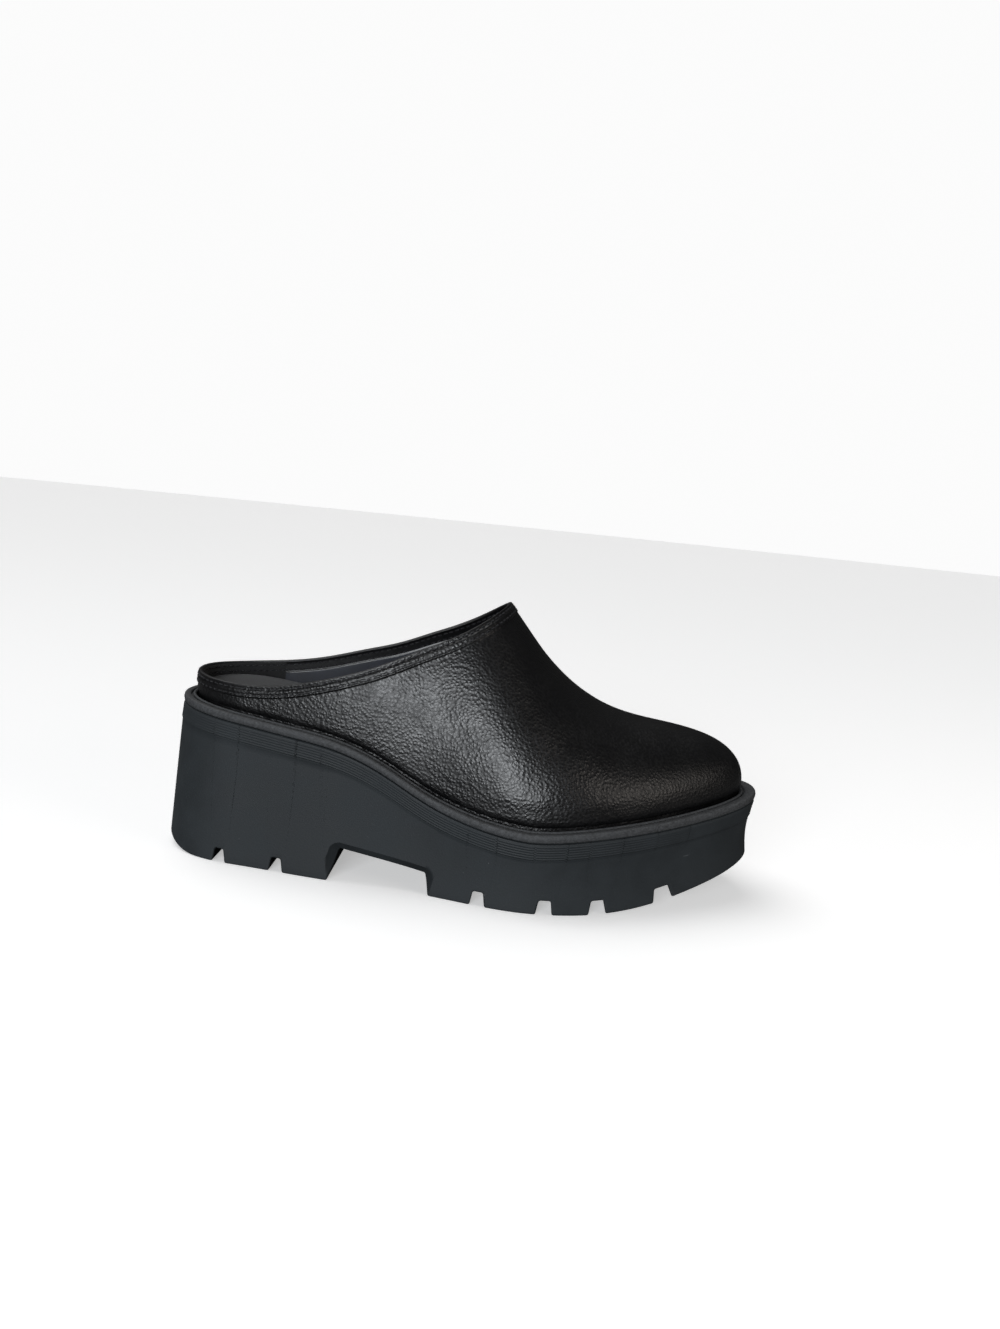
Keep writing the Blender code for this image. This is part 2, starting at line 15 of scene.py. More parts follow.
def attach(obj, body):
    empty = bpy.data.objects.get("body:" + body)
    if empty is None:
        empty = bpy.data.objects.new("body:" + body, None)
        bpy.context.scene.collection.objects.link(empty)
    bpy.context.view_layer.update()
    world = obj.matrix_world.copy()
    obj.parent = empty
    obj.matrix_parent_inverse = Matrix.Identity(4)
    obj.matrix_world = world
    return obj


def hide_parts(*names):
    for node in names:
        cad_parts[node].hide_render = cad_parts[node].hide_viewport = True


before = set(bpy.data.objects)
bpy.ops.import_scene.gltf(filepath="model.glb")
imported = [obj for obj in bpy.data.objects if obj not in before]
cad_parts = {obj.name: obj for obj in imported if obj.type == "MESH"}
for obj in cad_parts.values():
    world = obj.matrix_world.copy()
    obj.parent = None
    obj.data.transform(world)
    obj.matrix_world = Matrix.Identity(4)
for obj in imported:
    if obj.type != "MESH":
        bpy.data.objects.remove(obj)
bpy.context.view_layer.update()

bl_info = {
    "name": "Platform Clog",
    "version": (1, 0, 0),
    "blender": (4, 5, 0),
    "location": "View3D > Sidebar > Clog",
    "description": "Builds the leather, lining, stitching, sole and stage of a platform clog",
    "category": "Add Mesh",
}

# Sizes of the solids
LENGTH = 0.268  # tread, from heel back to toe tip
BALL_WIDTH = 0.0995
HEEL_HEIGHT = 0.069
FOREFOOT_HEIGHT = 0.034
TOE_HEIGHT = 0.0480
INSTEP_HEIGHT = 0.0885
TOE_SPRING = 0.0193
WALL = 0.0018
CLEARANCE = 0.0003
HEEL_LENGTH = 0.0808
BREAST_LEAN = 0.0040
ARCH_FRONT = 0.1253
ARCH_FRONT_LEAN = 0.0022
ARCH_BACK_HEIGHT = 0.0142
ARCH_FRONT_HEIGHT = 0.0088
ARCH_BEVEL = 0.0038
SPRING_START = 0.70
HEEL_BEVEL = 0.0055
HEEL_BEVEL_LENGTH = 0.0190
LUG_DEPTH = 0.0062
GROOVE_WIDTH = 0.0045
GROOVE_DRAFT = 0.0010
RIB_DROP = 0.0075
RIB_STEP = 0.00035
WELT_HEIGHT = 0.0040
WELT_BELOW = 0.0024
LEDGE = 0.0054
BEAD_WIDTH = 0.0014
BEAD_RISE = 0.0005
WELT_GROOVE_WIDTH = 0.0008
WELT_GROOVE_DEPTH = 0.0010
COLLAR_BAND = 0.0055
COLLAR_STEP = 0.0004
INSOLE_THICKNESS = 0.0105
INSOLE_INSET = WALL + 2 * CLEARANCE
FLARE = 0.010
HEEL_ROUND = (0.14, 2.1)  # share of LENGTH that the heel's round takes, and its fullness
TOE_ROUND = (0.22, 2.2)
HEEL_FAN = 0.28
TOE_FAN = 0.60

SECTIONS = np.array(
    [
        (0.00, 0.329, 0.372, 0.010, -0.31, 1.00),
        (0.12, 0.329, 0.372, -0.004, -0.12, 0.96),
        (0.30, 0.392, 0.362, -0.014, 0.08, 0.94),
        (0.45, 0.433, 0.402, -0.016, 0.18, 0.96),
        (0.62, 0.537, 0.462, 0.000, 0.28, 1.00),
        (0.78, 0.443, 0.442, 0.018, 0.28, 1.04),
        (0.90, 0.334, 0.412, 0.040, 0.22, 1.14),
        (1.00, 0.301, 0.371, 0.058, 0.09, 1.34),
    ],
    dtype=[
        ("station", float),  # share of LENGTH from the heel back
        ("lateral", float),  # share of BALL_WIDTH
        ("medial", float),
        ("middle", float),
        ("flare", float),  # share of FLARE
        ("ledge", float),  # share of LEDGE
    ],
)
RIM = np.array(
    [
        (0.00, 1.000),
        (0.12, 0.909),
        (0.22, 0.831),
        (0.30, 0.750),
        (0.375, 0.551),
        (0.45, 0.266),
        (0.52, 0.098),
        (0.62, 0.000),
        (0.70, 0.000),
    ],
    dtype=[("station", float), ("height", float)],
)
TOE_RIM = np.array(
    [(0.62, 0.000), (0.70, 0.120), (0.78, 0.290), (0.90, 0.605), (1.00, 1.000)],
    dtype=[("station", float), ("height", float)],
)
COVE = np.array(
    [(0.0, 0.0000), (0.3, 0.0004), (0.62, 0.0009), (0.85, 0.0014), (1.0, 0.0016)],
    dtype=[("station", float), ("depth", float)],
)
LAST = np.array(
    [
        (0.00, 0.600, 0.020, 2.10, 0.000),
        (0.20, 0.780, 0.010, 2.05, 0.005),
        (0.35, 0.985, 0.010, 1.95, 0.010),
        (0.45, 1.090, 0.015, 1.90, 0.015),
        (0.50, 1.092, 0.020, 1.90, 0.020),
        (0.55, 0.993, 0.028, 1.90, 0.028),
        (0.60, 0.830, 0.036, 1.95, 0.034),
        (0.65, 0.675, 0.044, 2.05, 0.038),
        (0.70, 0.556, 0.052, 2.15, 0.040),
        (0.76, 0.463, 0.060, 2.20, 0.038),
        (0.84, 0.398, 0.068, 2.35, 0.030),
        (0.92, 0.362, 0.072, 2.50, 0.018),
        (1.00, 0.330, 0.072, 2.60, 0.010),
    ],
    dtype=[
        ("station", float),
        ("ridge", float),  # share of INSTEP_HEIGHT
        ("side", float),  # share of BALL_WIDTH
        ("fullness", float),
        ("bulge", float),
    ],
)
COLLAR = np.array(
    [
        (0.00, 0.142, 0.142),
        (0.06, 0.143, 0.148),
        (0.12, 0.154, 0.176),
        (0.18, 0.184, 0.220),
        (0.24, 0.242, 0.280),
        (0.30, 0.326, 0.362),
        (0.36, 0.456, 0.478),
        (0.42, 0.634, 0.646),
        (0.48, 0.804, 0.808),
        (0.52, 0.915, 0.915),
        (0.56, 1.030, 1.030),
    ],
    dtype=[("station", float), ("lateral", float), ("medial", float)],
)
FOOTBED = np.array(
    [(0.0, 0.78), (0.12, 1.00), (0.22, 0.98), (0.35, 0.78), (0.5, 0.52), (0.7, 0.42), (1.0, 0.42)],
    dtype=[("station", float), ("thickness", float)],
)
GROOVES = np.array(
    [(0.116, 0.85), (0.2145, 0.90), (0.547, 0.95), (0.652, 1.10), (0.737, 1.20), (0.8455, 1.40)],
    dtype=[("station", float), ("width", float)],
)

# Creases of the leather: outline station, side of the foot, height up the leather in metres,
# half length along the shoe, half width, depth (a ridge where negative) and lean in degrees
CREASES = np.array(
    [
        (0.560, -1, 0.0050, 0.017, 0.0008, 0.00022, 3.0),
        (0.610, -1, 0.0085, 0.020, 0.0010, 0.00025, 5.0),
        (0.660, -1, 0.0060, 0.014, 0.0008, 0.00020, -2.0),
        (0.500, -1, 0.0080, 0.012, 0.0009, 0.00018, 6.0),
        (0.730, -1, 0.0070, 0.013, 0.0009, 0.00016, 2.0),
        (0.600, -1, 0.0120, 0.016, 0.0014, -0.00018, 4.0),
        (0.640, -1, 0.0300, 0.020, 0.0060, 0.00040, 50.0),
        (0.470, -1, 0.0340, 0.016, 0.0050, 0.00035, -35.0),
        (0.620, 1, 0.0080, 0.018, 0.0010, 0.00022, 4.0),
        (0.560, 1, 0.0060, 0.015, 0.0009, 0.00020, -3.0),
        (0.650, 1, 0.0280, 0.018, 0.0055, 0.00035, 45.0),
    ],
    dtype=[
        ("station", float),
        ("side", float),
        ("height", float),
        ("reach", float),
        ("width", float),
        ("depth", float),
        ("lean", float),
    ],
)

# Sizes that only the looks have
TROUGH_WIDTH = 0.0005
TROUGH_DEPTH = 0.00028  # of the leather under each row of stitches
PUFF_WIDTH = 0.0009
PUFF = 0.00022  # of the band between the two rows
FACING = 0.0060  # width of the leather facing inside the topline
TOP_TRIM = 0.0006  # the rounded topline stands this much above the last row of the leather
WELT_ROUND = 0.0009
WELT_BELLY = 0.00018
FOOTBED_ROUND = 0.0014
FOOTBED_DISH = 0.0012

WINDOW_PLACE = (-0.50, -1.95, 0.42)
WINDOW_SIZE = (1.1, 0.84)
TOP_PLACE = (-0.35, 0.20, 0.90)
RIM_PLACE = (0.75, -0.45, 0.35)
RIM_SIZE = 0.35

CAMERA_PLACE = (0.01953, -0.44169, 0.16388)
CAMERA_TURN = (0.0193, 0.1527, 0.0997)  # yaw, pitch down and roll, in radians
CAMERA_FOCAL = 988.7  # pixels of the photograph
PHOTO_HEIGHT = 1329


def length_property(name, description, default):
    """A size in metres."""
    return bpy.props.FloatProperty(
        name=name, description=description, default=default, unit="LENGTH"
    )


def share_property(name, description, default):
    """A number from 0 to 1."""
    return bpy.props.FloatProperty(
        name=name, description=description, default=default, min=0, max=1
    )


def colour_property(name, description, default):
    """A linear colour."""
    return bpy.props.FloatVectorProperty(
        name=name,
        description=description,
        default=(*default, 1.0),
        subtype="COLOR",
        size=4,
        min=0,
        max=1,
    )


class ClogLeather(bpy.types.PropertyGroup):
    colour: colour_property("Colour", "Face colour of the leather", (0.0018, 0.0018, 0.0021))
    grain_size: length_property("Grain size", "Width of one pebble of the grain", 0.0013)
    grain_depth: length_property("Grain depth", "Depth of the valleys between pebbles", 0.00020)
    roughness: share_property("Roughness", "Roughness of the finish", 0.31)
    tuck: length_property("Tuck", "How far the leather runs in under itself above the welt", 0.0009)
    tuck_height: length_property("Tuck height", "Height of leather that the tuck takes", 0.0034)
    fold_bead: length_property(
        "Fold bead", "How far the folded lower edge of the collar band stands up", 0.00030
    )
    lining_colour: colour_property(
        "Lining colour", "Colour of the quarter lining", (0.018, 0.020, 0.027)
    )
    grip_colour: colour_property(
        "Heel grip colour", "Colour of the suede heel grip", (0.006, 0.006, 0.0065)
    )
    grip_end: share_property(
        "Heel grip end", "Share of the length at which the heel grip ends", 0.155
    )


class ClogStitching(bpy.types.PropertyGroup):
    colour: colour_property("Colour", "Colour of the thread", (0.030, 0.030, 0.034))
    pitch: length_property("Pitch", "From one stitch to the next", 0.0029)
    length: length_property("Length", "Length of one stitch", 0.0023)
    thickness: length_property("Thickness", "Diameter of the thread", 0.00065)
    first_row: length_property("First row", "From the topline down to the first row", 0.0018)
    second_row: length_property("Second row", "From the topline down to the second row", 0.0045)
    inner_row: length_property("Inner row", "From the topline down to the lower row inside", 0.0048)


class ClogSole(bpy.types.PropertyGroup):
    colour: colour_property("Colour", "Colour of the moulded sole", (0.019, 0.023, 0.026))
    welt_colour: colour_property(
        "Welt colour", "Colour of the welt and its rough edge", (0.046, 0.048, 0.051)
    )
    footbed_colour: colour_property(
        "Footbed colour", "Colour of the footbed's cover", (0.0095, 0.010, 0.0115)
    )
    edge_round: length_property(
        "Edge round", "Radius along the edge between side and tread", 0.0008
    )
    corner_round: length_property("Corner round", "Radius of the corners of the lugs", 0.0011)
    line_pitch: length_property(
        "Line pitch", "From one moulded line below the rim to the next", 0.0011
    )


class ClogStage(bpy.types.PropertyGroup):
    floor_colour: colour_property(
        "Floor colour", "Colour of floor and backdrop", (0.90, 0.90, 0.90)
    )
    window_power: bpy.props.FloatProperty(
        name="Window power",
        description="Power of the large soft light on the left behind the camera",
        default=34.0,
        unit="POWER",
    )
    top_strength: bpy.props.FloatProperty(
        name="Top strength", description="Strength of the soft light on the floor", default=1.4
    )
    top_spread: bpy.props.FloatProperty(
        name="Top spread",
        description="Angular size of the soft light on the floor",
        default=math.radians(50),
        subtype="ANGLE",
    )
    rim_power: bpy.props.FloatProperty(
        name="Rim power",
        description="Power of the soft light on the right",
        default=1.2,
        unit="POWER",
    )
    bounce: share_property(
        "Bounce", "Share of the floor's brightness that lights the shoe from below", 0.13
    )
    glow: bpy.props.FloatProperty(
        name="Glow", description="Light that the camera sees from the floor itself", default=0.42
    )
    zenith: bpy.props.FloatProperty(
        name="Zenith", description="Strength of the even light from straight above", default=0.08
    )
    horizon: bpy.props.FloatProperty(
        name="Horizon", description="Strength of the even light from the side", default=0.02
    )
    backdrop: bpy.props.FloatProperty(
        name="Backdrop", description="Brightness of the plain background", default=0.97
    )


def smooth_through(table, column, at):
    """Natural cubic spline through a table's column, straight on beyond its ends."""
    x = table["station"]
    y = table[column]
    h = np.diff(x)
    matrix = np.eye(len(x))
    bend = np.zeros(len(x))
    for i in range(1, len(x) - 1):
        matrix[i, i - 1 : i + 2] = h[i - 1], 2 * (h[i - 1] + h[i]), h[i]
        bend[i] = 6 * ((y[i + 1] - y[i]) / h[i] - (y[i] - y[i - 1]) / h[i - 1])
    m = np.linalg.solve(matrix, bend)
    inside = np.clip(at, x[0], x[-1])
    i = np.clip(np.searchsorted(x, inside) - 1, 0, len(x) - 2)
    a = x[i + 1] - inside
    b = inside - x[i]
    value = (m[i] * a**3 + m[i + 1] * b**3) / (6 * h[i])
    value += (y[i] / h[i] - m[i] * h[i] / 6) * a + (y[i + 1] / h[i] - m[i + 1] * h[i] / 6) * b
    first = (y[1] - y[0]) / h[0] - m[1] * h[0] / 6
    last = (y[-1] - y[-2]) / h[-1] + m[-2] * h[-1] / 6
    return value + np.minimum(at - x[0], 0) * first + np.maximum(at - x[-1], 0) * last


def ease(value):
    """0 below 0, 1 above 1, and the smooth cubic step between."""
    t = np.clip(value, 0, 1)
    return t * t * (3 - 2 * t)


def rim_height(x):
    """Middle line of the welt: heel to forefoot spline, and forefoot to toe spline."""
    share = x / LENGTH
    back = smooth_through(RIM, "height", np.minimum(share, RIM["station"][-1]))
    front = smooth_through(TOE_RIM, "height", np.maximum(share, TOE_RIM["station"][0]))
    front = np.where(share > TOE_RIM["station"][0], front, 0)
    return (
        FOREFOOT_HEIGHT
        + back * (HEEL_HEIGHT - FOREFOOT_HEIGHT)
        + front * (TOE_HEIGHT - FOREFOOT_HEIGHT)
    )


def deck_height(x):
    """Top of the sole: the welt's middle line less its lower part and the clearance."""
    return rim_height(x) - WELT_BELOW - CLEARANCE


def tread_height(x):
    """Underside: flat, with a parabola for the toe spring and one for the heel's bevel."""
    spring = np.clip(x / LENGTH - SPRING_START, 0, None) / (1 - SPRING_START)
    bevel = np.clip(1 - x / HEEL_BEVEL_LENGTH, 0, None)
    return TOE_SPRING * spring**2 + HEEL_BEVEL * bevel**2


def end_round(share):
    """1 along the middle, running down to 0 at heel back and toe tip as superellipses."""
    heel_share, heel_power = HEEL_ROUND
    toe_share, toe_power = TOE_ROUND
    heel = np.clip(1 - share / heel_share, 0, 1) ** heel_power
    toe = np.clip(1 - (1 - share) / toe_share, 0, 1) ** toe_power
    return (1 - heel) ** (1 / heel_power) * (1 - toe) ** (1 / toe_power)


def tread_point(turn):
    """Tread outline: along by (1 - cos turn) / 2 of the length, across by the half widths."""
    share = (1 - np.cos(turn)) / 2
    width = np.where(
        np.sin(turn) >= 0,
        -smooth_through(SECTIONS, "lateral", share),
        smooth_through(SECTIONS, "medial", share),
    )
    middle = smooth_through(SECTIONS, "middle", share)
    return np.stack([share * LENGTH, (middle + width * end_round(share)) * BALL_WIDTH], -1)


def outline(turn, outset):
    """Tread outline moved outwards in plan by outset, along its own normal."""
    step = 1e-3
    along = tread_point(turn + step) - tread_point(turn - step)
    along /= np.linalg.norm(along, axis=-1, keepdims=True)
    outward = np.stack([along[..., 1], -along[..., 0]], -1)
    return tread_point(turn) + outward * np.asarray(outset)[..., None]


def flare(turn):
    """How far the welt's outer edge stands outside the tread."""
    return FLARE * smooth_through(SECTIONS, "flare", (1 - np.cos(turn)) / 2)


def leather_outset(turn, inset=0.0):
    """The flare less the ledge, less an inset: where the leather or a face inside it stands."""
    ledge = LEDGE * smooth_through(SECTIONS, "ledge", (1 - np.cos(turn)) / 2)
    return flare(turn) - ledge - inset


def turn_of(share, side):
    """Turn of an outline station: arccos(1 - 2 share), and its mirror on the medial side."""
    turn = np.arccos(np.clip(1 - 2 * share, -1, 1))
    return turn if side < 0 else 2 * math.pi - turn


def plan_centre():
    """Middle of the outline's box, which is the model's origin."""
    turn = np.linspace(0, 2 * math.pi, 896, endpoint=False)
    rims = np.concatenate([outline(turn, flare(turn)), tread_point(turn)])
    return (rims.min(axis=0) + rims.max(axis=0)) / 2


CENTRE = np.append(plan_centre(), 0.0)


def grid_quads(rows, columns, start=0, around=False, flip=False):
    """Corners of the faces between the points of a grid stored row after row."""
    index = start + np.arange(rows * columns).reshape(rows, columns)
    if around:
        index = np.concatenate([index, index[:, :1]], axis=1)
    quads = np.stack([index[:-1, :-1], index[:-1, 1:], index[1:, 1:], index[1:, :-1]], -1)
    quads = quads.reshape(-1, 4)
    return quads[:, ::-1] if flip else quads


def surface(name, sheets, materials, weld=2e-7):
    """One object from sheets of (grid of points, grid of UV, material number or grid of them,
    flip), welded where their edges meet."""
    points, uvs, quads, numbers = [], [], [], []
    start = 0
    for grid, uv, number, flip in sheets:
        rows, columns = grid.shape[:2]
        faces = grid_quads(rows, columns, start, flip=flip)
        points.append(grid.reshape(-1, 3))
        uvs.append(uv.reshape(-1, 2))
        quads.append(faces)
        numbers.append(np.broadcast_to(number, (rows - 1, columns - 1)).ravel())
        start += rows * columns
    quads = np.concatenate(quads)
    mesh = bpy.data.meshes.new(name)
    mesh.from_pydata((np.concatenate(points) - CENTRE).tolist(), [], quads.tolist())
    layer = mesh.uv_layers.new(name="UVMap")
    layer.data.foreach_set("uv", np.concatenate(uvs)[quads.ravel()].astype(np.float32).ravel())
    mesh.polygons.foreach_set("material_index", np.concatenate(numbers).astype(np.int32))
    made = bmesh.new()
    made.from_mesh(mesh)
    bmesh.ops.remove_doubles(made, verts=made.verts, dist=weld)
    bmesh.ops.dissolve_degenerate(made, edges=made.edges, dist=weld)
    made.to_mesh(mesh)
    made.free()
    thing = bpy.data.objects.new(name, mesh)
    bpy.context.scene.collection.objects.link(thing)
    for material in materials:
        mesh.materials.append(material)
    mesh.shade_smooth()
    return thing


def settle(thing, slot, *nodes):
    """Puts a finished piece on the model: what it rides on and what it replaces; its slot is not
    used.
    """
    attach(thing, "root")
    if nodes:
        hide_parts(*nodes)
    return thing


def lengths_along(grid, axis):
    """Distance from the first row or column to each point of a grid, along that axis."""
    step = np.linalg.norm(np.diff(grid, axis=axis), axis=-1)
    pad = [(0, 0), (0, 0)]
    pad[axis] = (1, 0)
    return np.pad(np.cumsum(step, axis=axis), pad)


# Materials


def new_material(name):
    """An empty node material with its shader; returns its tree and the shader."""
    material = bpy.data.materials.new(name)
    material.use_nodes = True
    return material, material.node_tree, material.node_tree.nodes["Principled BSDF"]


def add_node(tree, kind, inputs=None, **settings):
    """A node with its settings, and its inputs set or linked."""
    node = tree.nodes.new(kind)
    for key, value in settings.items():
        setattr(node, key, value)
    for key, value in (inputs or {}).items():
        if isinstance(value, bpy.types.NodeSocket):
            tree.links.new(value, node.inputs[key])
        else:
            node.inputs[key].default_value = value
    return node


def math_node(tree, operation, first, second=0.0, clamp=False):
    return add_node(
        tree, "ShaderNodeMath", {0: first, 1: second}, operation=operation, use_clamp=clamp
    ).outputs[0]


def ramp(tree, value, low, high, start=0.0, end=1.0):
    """Smooth change from start to end while value goes from low to high."""
    return add_node(
        tree,
        "ShaderNodeMapRange",
        {"Value": value, "From Min": low, "From Max": high, "To Min": start, "To Max": end},
        interpolation_type="SMOOTHSTEP",
    ).outputs["Result"]


def noise(tree, vector, scale, detail=3.0, roughness=0.5):
    return add_node(
        tree,
        "ShaderNodeTexNoise",
        {"Vector": vector, "Scale": scale, "Detail": detail, "Roughness": roughness},
    ).outputs["Fac"]


def bump(tree, height, distance, before=None, strength=1.0):
    inputs = {"Height": height, "Distance": distance, "Strength": strength}
    if before is not None:
        inputs["Normal"] = before
    return add_node(tree, "ShaderNodeBump", inputs).outputs["Normal"]


def mix_colour(tree, factor, first, second):
    node = add_node(tree, "ShaderNodeMix", data_type="RGBA")
    for index, value in ((0, factor), (6, first), (7, second)):
        if isinstance(value, bpy.types.NodeSocket):
            tree.links.new(value, node.inputs[index])
        else:
            node.inputs[index].default_value = value
    return node.outputs[2]


def scaled(colour, factor):
    return (*(channel * factor for channel in colour[:3]), 1.0)


def toned(tree, pattern, low, high, colour, dark, light):
    """The colour times dark to times light while the pattern goes from low to high."""
    mixed = ramp(tree, pattern, low, high)
    return mix_colour(tree, mixed, scaled(colour, dark), scaled(colour, light))


def object_coordinates(tree):
    node = add_node(tree, "ShaderNodeTexCoord")
    split = add_node(tree, "ShaderNodeSeparateXYZ", {"Vector": node.outputs["Object"]})
    return node.outputs["Object"], split.outputs


def surface_coordinates(tree):
    node = add_node(tree, "ShaderNodeUVMap", uv_map="UVMap")
    split = add_node(tree, "ShaderNodeSeparateXYZ", {"Vector": node.outputs["UV"]})
    return node.outputs["UV"], split.outputs


def stretched(tree, vector, along, across):
    """The piece's own UV scaled for a pattern that is longer one way."""
    return add_node(
        tree, "ShaderNodeMapping", {"Vector": vector, "Scale": (along, across, 1.0)}
    ).outputs["Vector"]


def leather_material(leather):
    """Black coated leather: pebble grain, finer at the toe, small wrinkles above the welt."""
    material, tree, shader = new_material("upper_leather")
    place, (x, _, _) = object_coordinates(tree)
    uv, (_, height, _) = surface_coordinates(tree)
    warp = add_node(
        tree,
        "ShaderNodeTexNoise",
        {"Vector": place, "Scale": 0.35 / leather.grain_size, "Detail": 2.0},
    ).outputs["Color"]
    shifted = add_node(
        tree,
        "ShaderNodeVectorMath",
        {0: warp, "Scale": 0.6 * leather.grain_size},
        operation="SCALE",
    ).outputs[0]
    warped = add_node(
        tree, "ShaderNodeVectorMath", {0: place, 1: shifted}, operation="ADD"
    ).outputs[0]
    pebble = add_node(
        tree,
        "ShaderNodeTexVoronoi",
        {"Vector": warped, "Scale": 1 / leather.grain_size, "Smoothness": 0.25},
        feature="SMOOTH_F1",
    ).outputs["Distance"]
    grain = math_node(tree, "SUBTRACT", 1.0, pebble)
    patches = noise(tree, place, 70.0, 2.0)
    toe = ramp(tree, x, 0.050, 0.110, 1.0, 0.55)
    lifted = math_node(tree, "MULTIPLY", grain, toe)
    uneven = math_node(tree, "MULTIPLY", lifted, ramp(tree, patches, 0.25, 0.75, 0.85, 1.1))
    first = bump(tree, uneven, leather.grain_depth)
    pores = noise(tree, place, 3200.0, 2.0)
    second = bump(tree, pores, 0.00003, first, 0.5)
    wrinkles = noise(tree, stretched(tree, uv, 110.0, 900.0), 1.0, 3.0, 0.6)
    low = ramp(tree, height, 0.004, 0.016, 1.0, 0.0)
    third = bump(tree, math_node(tree, "MULTIPLY", wrinkles, low), 0.00016, second)
    waves = noise(tree, place, 38.0, 1.0)
    fourth = bump(tree, waves, 0.0003, third, 0.5)
    tone = noise(tree, place, 260.0, 4.0)
    colour = toned(tree, tone, 0.35, 0.75, leather.colour, 1.0, 1.5)
    tree.links.new(colour, shader.inputs["Base Color"])
    gloss = ramp(tree, patches, 0.3, 0.7, leather.roughness - 0.03, leather.roughness + 0.05)
    valley = ramp(tree, pebble, 0.25, 0.75, 0.0, 0.12)
    tree.links.new(math_node(tree, "ADD", gloss, valley), shader.inputs["Roughness"])
    tree.links.new(fourth, shader.inputs["Normal"])
    shader.inputs["Specular IOR Level"].default_value = 0.5
    return material


def lining_material(leather):
    """Smooth satin lining with fine grain."""
    material, tree, shader = new_material("quarter_lining")
    place, _ = object_coordinates(tree)
    cloud = noise(tree, place, 90.0, 3.0)
    colour = toned(tree, cloud, 0.3, 0.7, leather.lining_colour, 1.0, 1.35)
    tree.links.new(colour, shader.inputs["Base Color"])
    tree.links.new(bump(tree, noise(tree, place, 1500.0, 2.0), 0.00004), shader.inputs["Normal"])
    shader.inputs["Roughness"].default_value = 0.42
    return material


def grip_material(leather):
    """Matte suede heel grip."""
    material, tree, shader = new_material("heel_grip")
    place, _ = object_coordinates(tree)
    cloud = noise(tree, place, 160.0, 4.0, 0.6)
    colour = toned(tree, cloud, 0.3, 0.75, leather.grip_colour, 1.0, 1.8)
    tree.links.new(colour, shader.inputs["Base Color"])
    tree.links.new(bump(tree, noise(tree, place, 2600.0, 3.0), 0.00012), shader.inputs["Normal"])
    shader.inputs["Roughness"].default_value = 0.92
    shader.inputs["Sheen Weight"].default_value = 0.25
    return material


def facing_material(leather):
    """Smooth black facing inside the topline."""
    material, tree, shader = new_material("collar_facing")
    place, _ = object_coordinates(tree)
    cloud = noise(tree, place, 300.0, 3.0)
    colour = toned(tree, cloud, 0.3, 0.7, leather.colour, 1.0, 2.0)
    tree.links.new(colour, shader.inputs["Base Color"])
    tree.links.new(bump(tree, cloud, 0.00010), shader.inputs["Normal"])
    shader.inputs["Roughness"].default_value = 0.34
    return material


def edge_material(leather):
    """Folded topline: the same leather, painted lighter along the rounded edge as a highlight,
    unevenly by a noise.
    """
    material, tree, shader = new_material("topline_edge")
    place, _ = object_coordinates(tree)
    edge_highlight_noise = noise(tree, place, 420.0, 3.0)
    # painted highlight: the leather's colour lifted 1.6 to 3.2 times on the rounded topline, uneven
    # by a noise
    colour = toned(tree, edge_highlight_noise, 0.35, 0.7, leather.colour, 1.6, 3.2)
    tree.links.new(colour, shader.inputs["Base Color"])
    tree.links.new(bump(tree, noise(tree, place, 1800.0, 2.0), 0.00005), shader.inputs["Normal"])
    shader.inputs["Roughness"].default_value = 0.45
    return material


def thread_material(stitching):
    """Twisted waxed thread: fine slanted ply along each stitch."""
    material, tree, shader = new_material("stitch_thread")
    uv, _ = surface_coordinates(tree)
    ply = add_node(
        tree,
        "ShaderNodeTexWave",
        {"Vector": uv, "Scale": 2.0, "Distortion": 0.4},
        bands_direction="DIAGONAL",
    ).outputs["Fac"]
    tree.links.new(
        mix_colour(tree, ply, scaled(stitching.colour, 0.6), tuple(stitching.colour)),
        shader.inputs["Base Color"],
    )
    tree.links.new(bump(tree, ply, 0.00006), shader.inputs["Normal"])
    shader.inputs["Roughness"].default_value = 0.36
    return material


def rubber_material(sole):
    """Matte moulded foam rubber: fine lines under the rim, a dusty tone, a few pale scuffs."""
    material, tree, shader = new_material("sole_rubber")
    place, (x, _, _) = object_coordinates(tree)
    uv, (_, drop, _) = surface_coordinates(tree)
    wave = math_node(
        tree, "SINE", math_node(tree, "MULTIPLY", drop, 2 * math.pi / sole.line_pitch)
    )
    near_rim = math_node(
        tree,
        "MULTIPLY",
        ramp(tree, drop, 0.0066, 0.0085, 1.0, 0.0),
        ramp(tree, drop, 0.0004, 0.0012),
    )
    ends = math_node(
        tree, "MULTIPLY", ramp(tree, x, -0.13, -0.10), ramp(tree, x, 0.050, 0.115, 1.0, 0.0)
    )
    lines = math_node(tree, "MULTIPLY", math_node(tree, "MULTIPLY", wave, near_rim), ends)
    first = bump(tree, lines, 0.00010)
    second = bump(tree, noise(tree, place, 1400.0, 3.0, 0.6), 0.00006, first)
    cloud = noise(tree, place, 45.0, 4.0, 0.6)
    base = toned(tree, cloud, 0.3, 0.75, sole.colour, 0.88, 1.18)
    streaks = noise(tree, stretched(tree, uv, 55.0, 420.0), 1.0, 4.0, 0.65)
    scuffed = math_node(
        tree, "MULTIPLY", ramp(tree, streaks, 0.66, 0.80, 0.0, 0.55), ramp(tree, cloud, 0.5, 0.7)
    )
    dusty = mix_colour(tree, scuffed, base, (0.16, 0.165, 0.17, 1))
    specks = noise(tree, place, 620.0, 1.0)
    speckled = mix_colour(tree, ramp(tree, specks, 0.80, 0.84, 0.0, 0.5), dusty, (0.2, 0.2, 0.2, 1))
    tree.links.new(speckled, shader.inputs["Base Color"])
    tree.links.new(second, shader.inputs["Normal"])
    tree.links.new(ramp(tree, cloud, 0.3, 0.7, 0.62, 0.75), shader.inputs["Roughness"])
    shader.inputs["Specular IOR Level"].default_value = 0.4
    return material


